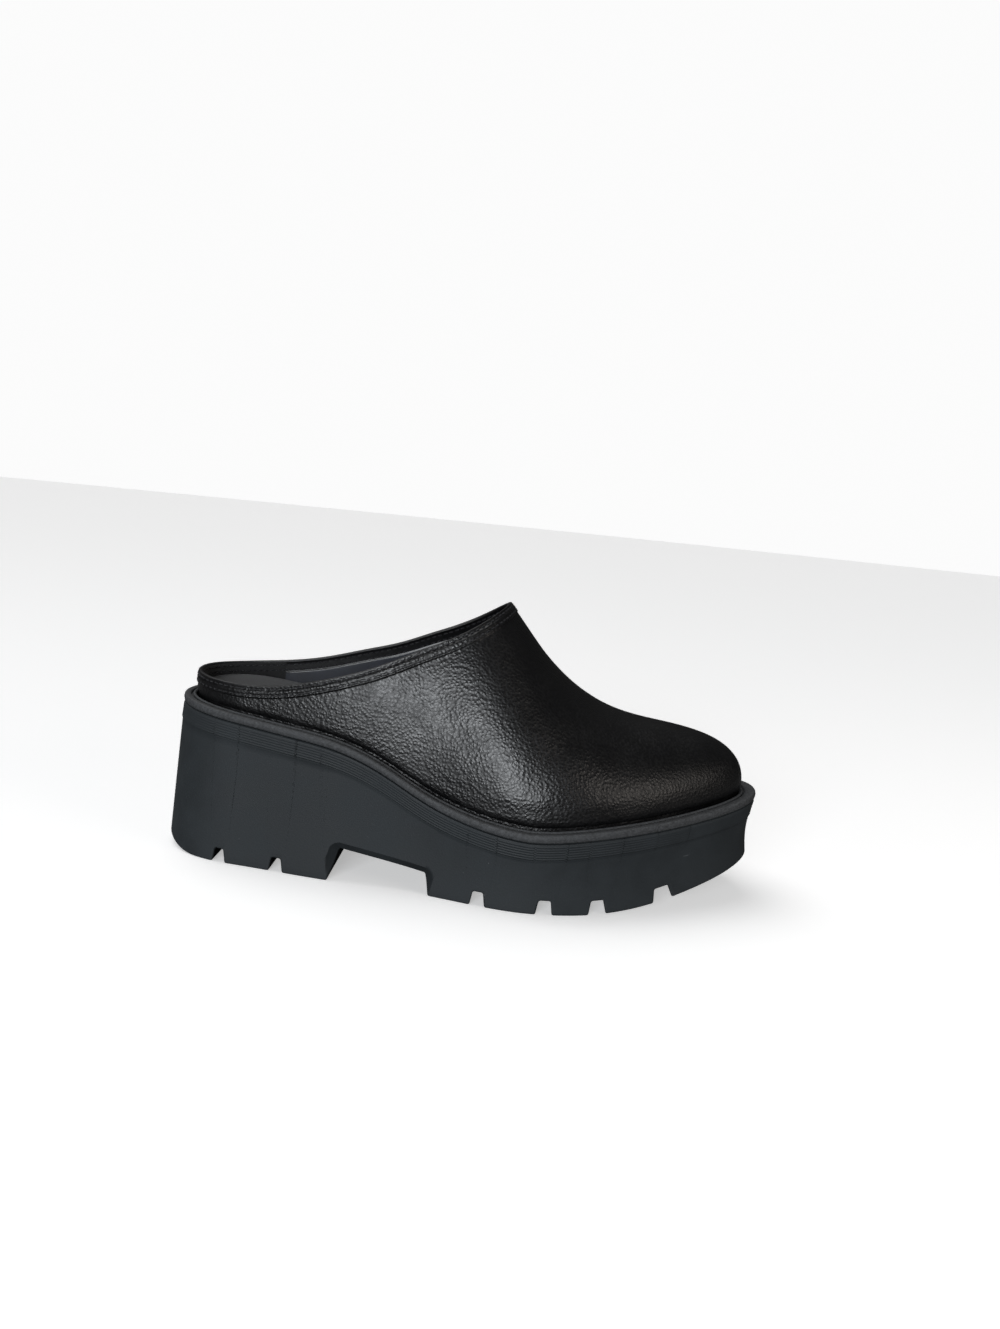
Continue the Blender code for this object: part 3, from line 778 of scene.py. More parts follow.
def welt_material(sole):
    """Rough trimmed edge of the welt: mottled, a lighter grey than the sole."""
    material, tree, shader = new_material("welt_rubber")
    place, _ = object_coordinates(tree)
    mottle = noise(tree, place, 900.0, 4.0, 0.7)
    cloud = noise(tree, place, 120.0, 2.0)
    base = toned(tree, mottle, 0.35, 0.68, sole.welt_colour, 0.55, 1.35)
    calm = ramp(tree, cloud, 0.35, 0.7, 0.0, 0.5)
    colour = mix_colour(tree, calm, base, tuple(sole.welt_colour))
    tree.links.new(colour, shader.inputs["Base Color"])
    tree.links.new(bump(tree, mottle, 0.00012), shader.inputs["Normal"])
    shader.inputs["Roughness"].default_value = 0.72
    return material


def footbed_material(sole):
    """Soft brushed cover of the footbed."""
    material, tree, shader = new_material("insole_lining")
    place, _ = object_coordinates(tree)
    cloud = noise(tree, place, 60.0, 4.0, 0.6)
    colour = toned(tree, cloud, 0.3, 0.7, sole.footbed_colour, 0.85, 1.2)
    tree.links.new(colour, shader.inputs["Base Color"])
    tree.links.new(bump(tree, noise(tree, place, 2200.0, 2.0), 0.00008), shader.inputs["Normal"])
    shader.inputs["Roughness"].default_value = 0.8
    shader.inputs["Sheen Weight"].default_value = 0.15
    return material


# Sole


def side_outset(turn, z, proud=0.0):
    """Outset of the sole's side at a height: the flare grows in a straight line from tread to
    deck, less a half sine for the hollow."""
    share = (1 - np.cos(turn)) / 2
    edge = flare(turn)
    bottom = tread_height(share * LENGTH)
    top = deck_height(outline(turn, edge)[..., 0])
    up = np.clip((z - bottom) / (top - bottom), 0, 1)
    cove = smooth_through(COVE, "depth", share)
    return edge * up - cove * np.sin(math.pi * up) + proud


def rounded_path(corners, radii, spacing):
    """Polyline in XZ with each corner replaced by an arc, and long stretches divided."""
    path = [corners[0]]
    for before, corner, after, radius in zip(corners, corners[1:], corners[2:], radii):
        incoming, outgoing = before - corner, after - corner
        incoming_length, outgoing_length = np.linalg.norm(incoming), np.linalg.norm(outgoing)
        incoming, outgoing = incoming / incoming_length, outgoing / outgoing_length
        opening = math.acos(float(np.clip(incoming @ outgoing, -1, 1)))
        if radius <= 0 or opening > math.radians(172):
            path.append(corner)
            continue
        back = min(radius / math.tan(opening / 2), 0.48 * incoming_length, 0.48 * outgoing_length)
        t = np.linspace(0, 1, 7)[:, None]
        start, end = corner + incoming * back, corner + outgoing * back
        path += list((1 - t) ** 2 * start + 2 * t * (1 - t) * corner + t**2 * end)
    path.append(corners[-1])
    path = np.array(path)
    dense = [path[:1]]
    for a, b in zip(path, path[1:]):
        count = max(1, math.ceil(np.linalg.norm(b - a) / spacing))
        dense.append(a + (b - a) * np.linspace(0, 1, count + 1)[1:, None])
    return np.concatenate(dense)


def cut_shape(place, half_roof, half_mouth, depth, sole):
    """Corners of a groove across the tread, turned square to the tread at its place."""
    step = 1e-4
    slope = float(tread_height(place + step) - tread_height(place - step)) / (2 * step)
    tilt = math.atan(slope)
    turned = np.array([[math.cos(tilt), math.sin(tilt)], [-math.sin(tilt), math.cos(tilt)]])
    reach = half_mouth + 2.2 * sole.corner_round
    ends = np.array([place - reach, place + reach])
    mouth = np.array([place - half_mouth, place + half_mouth])
    roof = np.array([[-half_roof, depth], [half_roof, depth]]) @ turned
    roof += [place, float(tread_height(place))]
    return np.array(
        [
            [ends[0], float(tread_height(ends[0]))],
            [mouth[0], float(tread_height(mouth[0]))],
            roof[0],
            roof[1],
            [mouth[1], float(tread_height(mouth[1]))],
            [ends[1], float(tread_height(ends[1]))],
        ]
    )


def tread_profile(sole):
    """Underside seen from the side, heel to toe: points in XZ, how much each belongs to a cut,
    how far its column leans over the lug above, and the bevel of its edge."""
    cuts = []
    for row in GROOVES:
        half = row["width"] * GROOVE_WIDTH / 2
        shape = cut_shape(
            row["station"] * LENGTH, half, half + GROOVE_DRAFT, LUG_DEPTH, sole
        )
        cuts.append((shape, 0.0030, sole.edge_round))
    reach = 2.2 * sole.corner_round
    arch = np.array(
        [
            [HEEL_LENGTH - reach, 0.0],
            [HEEL_LENGTH, 0.0],
            [HEEL_LENGTH + BREAST_LEAN, ARCH_BACK_HEIGHT],
            [ARCH_FRONT - ARCH_FRONT_LEAN, ARCH_FRONT_HEIGHT],
            [ARCH_FRONT, 0.0],
            [ARCH_FRONT + reach, 0.0],
        ]
    )
    cuts.append((arch, 0.0060, ARCH_BEVEL))
    cuts.sort(key=lambda cut: cut[0][0, 0])
    points, inside, lean, bevel = [], [], [], []
    reached = 0.0
    for shape, shift, width in cuts:
        points.append(plain_tread(reached, shape[0, 0]))
        inside.append(np.zeros(len(points[-1])))
        lean.append(np.zeros(len(points[-1])))
        bevel.append(np.full(len(points[-1]), sole.edge_round))
        radii = [sole.corner_round] * 4
        path = rounded_path(shape, radii, 0.0011)[1:-1]
        left = path[:, 0] < (shape[2, 0] + shape[3, 0]) / 2
        roof = np.where(left, shape[2, 1], shape[3, 1])
        mouth = np.where(left, shape[1, 1], shape[4, 1])
        up = np.clip((path[:, 1] - mouth) / (roof - mouth), 0, 1)
        flat = np.where(left, path[:, 0] - shape[0, 0], shape[5, 0] - path[:, 0]) / reach
        points.append(path)
        inside.append(np.ones(len(path)))
        lean.append(np.where(left, -1, 1) * shift * (1 - up) * np.clip(flat, 0, 1))
        bevel.append(sole.edge_round + (width - sole.edge_round) * ease(up * 1.4))
        reached = shape[5, 0]
    points.append(plain_tread(reached, LENGTH))
    inside.append(np.zeros(len(points[-1])))
    lean.append(np.zeros(len(points[-1])))
    bevel.append(np.full(len(points[-1]), sole.edge_round))
    return (np.concatenate(part) for part in (points, inside, lean, bevel))


def plain_tread(start, end):
    """Stretch of tread without cuts, its points closer together at heel back and toe tip."""
    first, last = (math.acos(1 - 2 * min(max(x / LENGTH, 0), 1)) for x in (start, end))
    count = max(2, math.ceil((last - first) / 0.022))
    x = (1 - np.cos(np.linspace(first, last, count + 1))) / 2 * LENGTH
    return np.stack([x, tread_height(x)], -1)


def share_at(x, z, side, inset, free):
    """Outline station whose point at that height and inset lies at x, by fixed point steps.
    Where free is 0 the station is simply x's share of the length."""
    share = np.clip(x / LENGTH, 0, 1)
    for _ in range(8):
        turn = turn_of(share, side)
        found = outline(turn, side_outset(turn, z) - inset)[:, 0]
        share = np.clip(share - free * (found - x) / LENGTH, 0, 1)
    return share


def sole_side(side, sole, profile):
    """One side of the sole as a grid: rows of the rounded lower edge, then up to the deck.
    Returns the grid and its UV (along the shoe, drop below the deck)."""
    points, inside, lean, bevel = profile
    along = np.gradient(points, axis=0)
    along /= np.linalg.norm(along, axis=1, keepdims=True)
    inward = np.stack([-along[:, 1] * inside, along[:, 0]], -1)
    inward /= np.linalg.norm(inward, axis=1, keepdims=True)
    in_arch = bevel > 2 * sole.edge_round
    grid, drops = [], []
    for step in np.linspace(0, 1, 7):
        angle = step * math.pi / 2
        inset = np.where(in_arch, bevel * (1 - step), bevel * (1 - math.sin(angle)))
        up = np.where(in_arch, bevel * step, bevel * (1 - math.cos(angle)))
        place = points + inward * up[:, None]
        share = share_at(place[:, 0], place[:, 1], side, inset, inside)
        turn = turn_of(share, side)
        plan = outline(turn, side_outset(turn, place[:, 1]) - inset)
        grid.append(np.column_stack([plan, place[:, 1]]))
        drops.append(deck_height(plan[:, 0]) - place[:, 1])
    start_share, start_z = share, place[:, 1]

    def row(step=None, drop=None, proud=0.0, inset=0.0):
        """A row by its way up from the lower edge to the rib line, or its drop from the top."""
        gone = 1.0 if step is None else ease(np.asarray(step) ** 0.8)
        at = np.clip(start_share + lean / LENGTH * gone, 0, 1)
        turn = turn_of(at, side)
        top = deck_height(outline(turn, flare(turn))[:, 0])
        rib = top - RIB_DROP
        z = top - drop if step is None else start_z + (rib - start_z) * step
        plan = outline(turn, side_outset(turn, z, proud) - inset)
        grid.append(np.column_stack([plan, z]))
        drops.append(top - z)

    for step in np.linspace(0, 1, 17)[1:]:
        row(step=float(step))
    row(drop=RIB_DROP - 0.0003, proud=0.7 * RIB_STEP)
    row(drop=RIB_DROP - 0.0007, proud=RIB_STEP)
    for drop in np.linspace(RIB_DROP - 0.0016, 0.0010, 7):
        row(drop=float(drop), proud=RIB_STEP * float(drop) / RIB_DROP)
    row(drop=0.0003, inset=0.0003)
    row(drop=0.0, inset=0.0010)
    grid = np.array(grid)
    uv = np.stack([lengths_along(grid, 1), np.array(drops)], -1)
    return grid, uv


def across(lateral, medial, count):
    """Sheet of straight lines from each lateral point to the medial one, with plan UV."""
    t = np.linspace(0, 1, count)[:, None, None]
    grid = lateral + (medial - lateral) * t
    uv = np.stack([grid[..., 0], np.full(grid.shape[:2], 0.02)], -1)
    return grid, uv


def make_sole(sole):
    """Sides, tread with its grooves and arch, and deck."""
    profile = tuple(tread_profile(sole))
    lateral, lateral_uv = sole_side(-1, sole, profile)
    medial, medial_uv = sole_side(1, sole, profile)
    tread, tread_uv = across(lateral[0], medial[0], 9)
    deck, deck_uv = across(lateral[-1], medial[-1], 5)
    thing = surface(
        "sole",
        [
            (lateral, lateral_uv, 0, False),
            (medial, medial_uv, 0, True),
            (tread, tread_uv, 0, True),
            (deck, deck_uv, 0, False),
        ],
        [rubber_material(sole)],
    )
    thing.data.set_sharp_from_angle(angle=math.radians(42))
    return settle(thing, "sole_rubber", "sole_unit")


# Welt and footbed


def ring_turns(count):
    return np.linspace(0, 2 * math.pi, count + 1)


def make_welt(sole):
    """The welt's section carried round the outline: rounded edge, ledge, groove and bead."""
    turn = ring_turns(720)
    outer = flare(turn)
    inner = leather_outset(turn, -CLEARANCE)
    ledge = WELT_HEIGHT - WELT_BELOW - BEAD_RISE
    foot = BEAD_WIDTH + WELT_GROOVE_WIDTH
    angle = np.linspace(0, math.pi / 2, 5)
    radius = WELT_ROUND
    edge_height = ledge + WELT_BELOW - 2 * radius
    section = [(inner, 0.0, -WELT_BELOW), (outer, -radius, -WELT_BELOW)]
    section += [
        (outer, -radius + radius * math.sin(a), -WELT_BELOW + radius - radius * math.cos(a))
        for a in angle[1:]
    ]
    section += [
        (outer, WELT_BELLY * math.sin(math.pi * t), -WELT_BELOW + radius + t * edge_height)
        for t in (0.33, 0.66)
    ]
    section += [
        (outer, -radius + radius * math.cos(a), ledge - radius + radius * math.sin(a))
        for a in angle
    ]
    section += [
        (inner, foot + 0.0006, ledge + 0.0001),
        (inner, foot + 0.0002, ledge),
        (inner, foot, ledge - 0.0003),
        (inner, foot - 0.0001, ledge - WELT_GROOVE_DEPTH),
        (inner, BEAD_WIDTH, ledge - WELT_GROOVE_DEPTH),
    ]
    bead = np.linspace(0, math.pi, 9)
    half = BEAD_WIDTH / 2
    section += [
        (inner, half + half * math.cos(a), ledge + BEAD_RISE - half + half * math.sin(a))
        for a in bead
    ]
    section += [section[0]]
    grid = []
    for edge, outset, height in section:
        plan = outline(turn, edge + outset)
        grid.append(np.column_stack([plan, rim_height(plan[:, 0]) + height]))
    grid = np.array(grid)
    uv = np.stack([lengths_along(grid, 1), lengths_along(grid, 0)], -1)
    thing = surface("welt_strip", [(grid, uv, 0, False)], [welt_material(sole)])
    thing.data.set_sharp_from_angle(angle=math.radians(50))
    return settle(thing, "welt_rubber", "welt")


def make_footbed(sole):
    """Padded footbed: walls up from the deck, a rounded edge, and a top that dips a little
    along its middle as the square of the distance from the edge."""
    turn = np.linspace(0, math.pi, 200)
    radius = FOOTBED_ROUND

    def ring(side, inset, drop, bottom=False):
        around = turn if side < 0 else 2 * math.pi - turn
        plan = outline(around, leather_outset(around, INSOLE_INSET) - inset)
        height = deck_height(plan[:, 0]) + CLEARANCE
        if not bottom:
            share = plan[:, 0] / LENGTH
            height = height + INSOLE_THICKNESS * smooth_through(FOOTBED, "thickness", share) - drop
        return np.column_stack([plan, height])

    sheets = []
    tops = []
    for side in (-1, 1):
        rows = [ring(side, 0.0, 0.0, bottom=True), ring(side, 0.0, radius)]
        for angle in np.linspace(0, math.pi / 2, 6)[1:]:
            rows.append(ring(side, radius * (1 - math.cos(angle)), radius * (1 - math.sin(angle))))
        grid = np.array(rows)
        uv = np.stack([lengths_along(grid, 1), lengths_along(grid, 0)], -1)
        sheets.append((grid, uv, 0, side > 0))
        tops.append(grid[-1])
    t = np.linspace(0, 1, 25)[:, None, None]
    top = tops[0] + (tops[1] - tops[0]) * t
    middle = (1 - (2 * t[..., 0] - 1) ** 2) ** 2
    width = np.linalg.norm(tops[1] - tops[0], axis=1)
    top[..., 2] -= FOOTBED_DISH * middle * np.clip(width / 0.05, 0, 1)
    sheets.append((top, top[..., :2], 0, False))
    lateral, medial = (sheet[0][0] for sheet in sheets[:2])
    low = lateral + (medial - lateral) * np.linspace(0, 1, 3)[:, None, None]
    sheets.append((low, low[..., :2], 0, True))
    thing = surface("footbed", sheets, [footbed_material(sole)])
    return settle(thing, "insole_lining", "insole")


# Upper


def ridge_station(share):
    """Where a column ends on the ridge: straight across in the middle, fanned at the ends."""
    heel = np.clip(HEEL_FAN - share, 0, None)
    toe = np.clip(share - TOE_FAN, 0, None)
    return share + heel**2 / (2 * HEEL_FAN) - toe**2 / (2 * (1 - TOE_FAN))


def last_point(share, side, angle):
    """Outer face of the upper: superellipse sections from the outline up to the ridge, with a
    bulge that is a half sine of the square root of the height."""
    turn = turn_of(share, side)
    foot = outline(turn, leather_outset(turn))
    ridge_share = ridge_station(share)
    ridge = np.stack(
        [ridge_share * LENGTH, BALL_WIDTH * smooth_through(LAST, "side", ridge_share)], -1
    )
    power = 2 / smooth_through(LAST, "fullness", share)
    up = np.sin(angle) ** power
    out = np.cos(angle) ** power
    out = out * (1 + smooth_through(LAST, "bulge", share) * np.sin(math.pi * np.sqrt(up)))
    plan = ridge + (foot - ridge) * out[..., None]
    x = plan[..., 0]
    start = rim_height(x) + WELT_HEIGHT - WELT_BELOW + CLEARANCE
    top = rim_height(x) + INSTEP_HEIGHT * smooth_through(LAST, "ridge", x / LENGTH)
    return np.concatenate([plan, (start + (top - start) * up)[..., None]], -1)


def topline_height(x, side, below=0.0):
    """The topline, moved down square to itself by below, seen from the side of the shoe."""
    column = "lateral" if side < 0 else "medial"
    at = np.linspace(-0.1, COLLAR["station"][-1], 400) * LENGTH
    top = rim_height(at) + INSTEP_HEIGHT * smooth_through(COLLAR, column, at / LENGTH)
    slope = np.gradient(top, at)
    run = np.sqrt(1 + slope**2)
    low_x = at + below * slope / run
    low_z = top - below / run
    end_slope = (low_z[-1] - low_z[-2]) / (low_x[-1] - low_x[-2])
    return np.interp(x, low_x, low_z) + np.maximum(x - low_x[-1], 0) * end_slope


def topline_drop(x, z, side):
    """Distance of a point below the topline, square to it: height times the slope's cosine."""
    step = 1e-3
    slope = (topline_height(x + step, side) - topline_height(x - step, side)) / (2 * step)
    return (topline_height(x, side) - z) / np.sqrt(1 + slope**2)


def angle_where(share, side, below):
    """Angle at which each column reaches the lowered topline, or 90 degrees, by bisection."""
    low = np.zeros_like(share)
    high = np.full_like(share, math.pi / 2)
    for _ in range(34):
        middle = (low + high) / 2
        point = last_point(share, side, middle)
        under = point[:, 2] < topline_height(point[:, 0], side, below)
        low = np.where(under, middle, low)
        high = np.where(under, high, middle)
    return np.where(low > math.pi / 2 - 1e-6, math.pi / 2, low)


def throat_station(below=0.0):
    """Share of LENGTH where the lowered topline reaches the ridge."""
    share = np.linspace(0.4, 0.7, 3001)
    x = share * LENGTH
    ridge = rim_height(x) + INSTEP_HEIGHT * smooth_through(LAST, "ridge", share)
    gap = topline_height(x, -1, below) - ridge
    return float(np.interp(0.0, gap, share))


def upper_stations():
    """Outline stations of the columns, closer together beside the throat."""
    throat = throat_station(TOP_TRIM)
    even = (1 - np.cos(np.linspace(0, math.pi, 211))) / 2
    near = 0.00022 * np.arange(1, 13) ** 1.7
    close = np.concatenate([throat - near, [throat], throat + near])
    clear = (even < close[0] - 0.003) | (even > close[-1] + 0.003)
    return np.sort(np.concatenate([even[clear], close]))


def creases(share, side, height):
    """Sum of soft troughs: each a Gaussian across a leaning line, faded along it."""
    depth = np.zeros(np.broadcast(share, height).shape)
    for row in CREASES:
        if row["side"] != side:
            continue
        along = (share - row["station"]) * LENGTH
        up = height - row["height"]
        lean = math.radians(row["lean"])
        down_line = along * math.cos(lean) + up * math.sin(lean)
        off_line = up * math.cos(lean) - along * math.sin(lean)
        depth += (
            row["depth"]
            * np.exp(-((off_line / row["width"]) ** 2))
            * np.exp(-((down_line / row["reach"]) ** 4))
        )
    return depth


def side_grid(share, side):
    """Points of one side of the leather, row after row from the welt to the topline."""
    throat = throat_station(TOP_TRIM)
    top = angle_where(share, side, TOP_TRIM)
    band = angle_where(share, side, COLLAR_BAND)
    ahead = np.clip((share - throat) / 0.15, 0, 1)
    band = np.minimum(band, math.radians(84) - math.radians(12) * ahead)
    low = np.linspace(0, 1, 30)[:-1] ** 1.5
    rows = np.concatenate([low * 0.96, [0.96, 0.98, 0.992]])
    angles = [band * row for row in rows]
    fold = np.concatenate([[0.0, 0.04, 0.09, 0.16, 0.25], np.linspace(0.34, 1.0, 9)])
    angles += [band + (top - band) * row for row in fold]
    return np.stack([last_point(share, side, angle) for angle in angles])


def ring_normals(grid, ridge):
    """Unit normals of a closed ring of columns from central differences. Along the ridge the
    normals of both sides are averaged."""
    around = np.roll(grid, -1, axis=1) - np.roll(grid, 1, axis=1)
    upward = np.gradient(grid, axis=0)
    normals = np.cross(around, upward)
    ring = grid.shape[1]
    normals /= np.linalg.norm(normals, axis=-1, keepdims=True)
    both = normals[-1, ridge] + normals[-1, (ring - ridge) % ring]
    normals[-1, ridge] = both
    normals[-1, (ring - ridge) % ring] = both
    return normals / np.linalg.norm(normals, axis=-1, keepdims=True)


def leather_relief(grid, share, side, leather, stitching):
    """How far the leather stands off the last: band and its fold, stitch troughs, tuck above
    the welt and creases. Returns relief and height up the leather."""
    height = lengths_along(grid, 0)
    drop = topline_drop(grid[..., 0], grid[..., 2], side)
    on_band = ease((COLLAR_BAND + 0.0003 - drop) / 0.0006)
    fold = np.exp(-(((drop - COLLAR_BAND + 0.0006) / 0.0006) ** 2))
    relief = COLLAR_STEP * on_band + leather.fold_bead * fold * on_band
    for row in (stitching.first_row, stitching.second_row):
        relief = relief - TROUGH_DEPTH * np.exp(-(((drop - row) / TROUGH_WIDTH) ** 2))
    between = (stitching.first_row + stitching.second_row) / 2
    relief = relief + PUFF * np.exp(-(((drop - between) / PUFF_WIDTH) ** 2))
    relief = relief - creases(share[None, :], side, height)
    tuck = np.clip(1 - height / leather.tuck_height, 0, 1)
    relief = relief - leather.tuck * tuck**2
    return relief, height


def upper_ring(share, per_side):
    """Joins two side grids into one closed ring: lateral heel to toe, then medial back."""
    lateral, medial = per_side
    order = np.arange(len(share) - 2, 0, -1)
    return np.concatenate([lateral, medial[:, order]], axis=1)


def make_upper(leather, stitching):
    """Leather outside, rounded topline, lining inside with its heel grip, and the lower edge.
    Inside and outside are the same last moved along its normals."""
    share = upper_stations()
    throat = int(np.argmin(np.abs(share - throat_station(TOP_TRIM))))
    sides = (-1, 1)
    grids = [side_grid(share, side) for side in sides]
    made = [
        leather_relief(grid, share, side, leather, stitching) for grid, side in zip(grids, sides)
    ]
    base = upper_ring(share, grids)
    relief = upper_ring(share, [m[0] for m in made])
    height = upper_ring(share, [m[1] for m in made])
    ring = base.shape[1]
    ridge = np.arange(throat, len(share) - 1)
    normals = ring_normals(base, ridge)
    outside = base + normals * relief[..., None]
    across_ridge = (outside[-1, ridge] + outside[-1, (ring - ridge) % ring]) / 2
    outside[-1, ridge] = across_ridge
    outside[-1, (ring - ridge) % ring] = across_ridge
    station = upper_ring(share, [np.broadcast_to(share, g.shape[:2]) for g in grids])
    drop = upper_ring(
        share, [topline_drop(g[..., 0], g[..., 2], s) for g, s in zip(grids, sides)]
    )
    grip = 1 - ease((station - leather.grip_end) / 0.004)
    facing = ease((FACING - drop) / 0.0006) * (1 - grip)
    inner_relief = 0.0005 * grip + 0.00035 * facing
    inner_relief = inner_relief * ease((drop - 0.0002) / 0.0018) * ease(height / 0.008)
    inside = base - normals * (WALL - inner_relief)[..., None]
    shared = (inside[-1, ridge] + inside[-1, (ring - ridge) % ring]) / 2
    inside[-1, ridge] = shared
    inside[-1, (ring - ridge) % ring] = shared

    deck = deck_height(base[0, :, 0]) + CLEARANCE
    outside = np.concatenate([outside[:1], outside])
    outside[0, :, 2] = deck
    inside = np.concatenate([inside[:1], inside])
    inside[0, :, 2] = deck
    closing = np.arange(ring + 1) % ring
    outside, inside = outside[:, closing], inside[:, closing]
    around = lengths_along(base[:1], 1)[0]
    around = np.append(around, around[-1] + np.linalg.norm(base[0, 0] - base[0, -1]))
    rise = np.concatenate([np.zeros((1, ring + 1)), height[:, closing]])
    uv = np.stack([np.broadcast_to(around, rise.shape), rise], -1)

    topline = np.concatenate([np.arange(ring - throat, ring), np.arange(throat + 1)])
    outer_top, inner_top = outside[-1, topline], inside[-1, topline]
    centre = (outer_top + inner_top) / 2
    radial = outer_top - centre
    upward = outside[-1, topline] - outside[-3, topline]
    upward /= np.linalg.norm(upward, axis=-1, keepdims=True)
    half = np.linalg.norm(radial, axis=-1, keepdims=True)
    angle = np.linspace(0, math.pi, 9)[:, None, None]
    arc = centre + radial * np.cos(angle) + upward * np.minimum(half, TOP_TRIM) * np.sin(angle)
    arc_around = np.broadcast_to(around[topline], arc.shape[:2])
    arc_uv = np.stack([arc_around, np.zeros_like(arc_around)], -1)
    foot = np.stack([inside[0], outside[0]])
    foot_uv = np.stack([uv[0], uv[0]])

    on_facing = np.concatenate([drop[:1], drop])[:, closing] < FACING
    on_grip = np.broadcast_to(station[0, closing] < leather.grip_end, on_facing.shape)
    number = np.where(on_grip, 3, np.where(on_facing, 4, 2))[1:, :-1]
    sheets = [
        (outside, uv, 0, False),
        (arc, arc_uv, 1, False),
        (foot, foot_uv, 0, False),
        (inside, uv, number, True),
    ]
    thing = surface(
        "upper_leather",
        sheets,
        [
            leather_material(leather),
            edge_material(leather),
            lining_material(leather),
            grip_material(leather),
            facing_material(leather),
        ],
    )
    thing.data.set_sharp_from_angle(angle=math.radians(60))
    return settle(thing, "upper_leather", "upper")


# Stitches


def surface_frame(share, side, below, inner):
    """Points and normals of the leather along a row at that distance below the topline.
    Inside rows lie on the lining."""
    angle = angle_where(share, side, below)
    step = 1e-4
    point = last_point(share, side, angle)
    along = last_point(share + step, side, angle) - last_point(share - step, side, angle)
    upward = last_point(share, side, angle + step) - last_point(share, side, angle - step)
    normal = np.cross(along, upward) * -side
    normal /= np.linalg.norm(normal, axis=-1, keepdims=True)
    if inner:
        return point - normal * (WALL - 0.0003), -normal
    return point + normal * (COLLAR_STEP - 0.00012), normal


def row_path(below, inner):
    """Row of stitches: along the lateral side from the heel back to the throat, and back."""
    end = throat_station(below) - 0.0004
    share = (1 - np.cos(np.linspace(0.02, math.acos(1 - 2 * end), 500))) / 2
    lateral, lateral_normal = surface_frame(share, -1, below, inner)
    medial, medial_normal = surface_frame(share, 1, below, inner)
    points = np.concatenate([lateral, medial[::-1]])
    normals = np.concatenate([lateral_normal, medial_normal[::-1]])
    return points, normals


def stitch_shape(length, thickness, sides=6):
    """One stitch lying along X: an ellipse of revolution with blunt ends, arched along its
    length so that both ends dive into the leather."""
    t = np.linspace(-1, 1, 7)
    radius = thickness / 2 * np.sqrt(np.clip(1 - np.abs(t) ** 3, 0.02, None))
    turn = np.linspace(0, 2 * math.pi, sides, endpoint=False)
    x = np.broadcast_to((t * length / 2)[:, None], (len(t), sides))
    y = radius[:, None] * np.cos(turn)
    z = radius[:, None] * np.sin(turn) + (thickness * 0.45 * (1 - t**2) - thickness * 0.25)[:, None]
    return np.stack([x, y, z], -1)


def make_stitches(stitching):
    """Every stitch is the same small shape, turned along its row and set at equal pitch."""
    shape = stitch_shape(stitching.length, stitching.thickness)
    rings, sides = shape.shape[:2]
    template = shape.reshape(-1, 3)
    quads = grid_quads(rings, sides, around=True, flip=True)
    caps = [np.arange(sides), np.arange(sides * (rings - 1), sides * rings)[::-1]]
    points, faces, uvs = [], [], []
    start = 0
    rows = (
        (stitching.first_row, False),
        (stitching.second_row, False),
        (stitching.first_row + 0.0004, True),
        (stitching.inner_row, True),
    )
    for below, inner in rows:
        path, normals = row_path(below, inner)
        run = lengths_along(path[None], 1)[0]
        count = round(run[-1] / stitching.pitch)
        at = (np.arange(count) + 0.5) * run[-1] / count
        centre = np.stack([np.interp(at, run, path[:, k]) for k in range(3)], -1)
        ahead = np.stack([np.interp(at + 0.0008, run, path[:, k]) for k in range(3)], -1)
        behind = np.stack([np.interp(at - 0.0008, run, path[:, k]) for k in range(3)], -1)
        normal = np.stack([np.interp(at, run, normals[:, k]) for k in range(3)], -1)
        tangent = ahead - behind
        tangent /= np.linalg.norm(tangent, axis=1, keepdims=True)
        sideways = np.cross(normal, tangent)
        sideways /= np.linalg.norm(sideways, axis=1, keepdims=True)
        normal = np.cross(tangent, sideways)
        axes = np.stack([tangent, sideways, normal], 1)
        placed = centre[:, None, :] + np.einsum("kj,njc->nkc", template, axes)
        points.append(placed.reshape(-1, 3))
        offsets = start + np.arange(count)[:, None, None] * len(template)
        faces += (quads[None] + offsets).reshape(-1, 4).tolist()
        for cap in caps:
            faces += (cap[None] + offsets[:, 0]).tolist()
        start += count * len(template)
    points = np.concatenate(points) - CENTRE
    mesh = bpy.data.meshes.new("stitches")
    mesh.from_pydata(points.tolist(), [], faces)
    corner = np.empty(len(mesh.loops), np.int32)
    mesh.loops.foreach_get("vertex_index", corner)
    local = template[corner % len(template)]
    uv = np.stack([local[:, 0] / stitching.length * 4, local[:, 1] / stitching.thickness], -1)
    mesh.uv_layers.new(name="UVMap").data.foreach_set("uv", uv.astype(np.float32).ravel())
    mesh.materials.append(thread_material(stitching))
    mesh.shade_smooth()
    thing = bpy.data.objects.new("stitches", mesh)
    bpy.context.scene.collection.objects.link(thing)
    return settle(thing, "stitch_thread")


# Stage


def make_floor(stage):
    """Plain round floor: rings of points at growing distances from the middle."""
    radius = np.concatenate([[0.001], np.linspace(0.4, 3.0, 8), [6.0, 12.0]])[:, None]
    turn = np.linspace(0, 2 * math.pi, 65)
    grid = np.stack([radius * np.cos(turn), radius * np.sin(turn), 0 * radius * turn], -1)
    material, tree, shader = new_material("pale_floor")
    seen = add_node(tree, "ShaderNodeLightPath").outputs["Is Camera Ray"]
    dim = scaled(stage.floor_colour, stage.bounce)
    tree.links.new(
        mix_colour(tree, seen, dim, tuple(stage.floor_colour)), shader.inputs["Base Color"]
    )
    shader.inputs["Emission Color"].default_value = (1.0, 1.0, 1.0, 1.0)
    glow = math_node(tree, "MULTIPLY", seen, stage.glow)
    tree.links.new(glow, shader.inputs["Emission Strength"])
    shader.inputs["Roughness"].default_value = 0.9
    floor = surface("floor", [(grid + CENTRE, grid[..., :2], 0, True)], [material])
    return floor


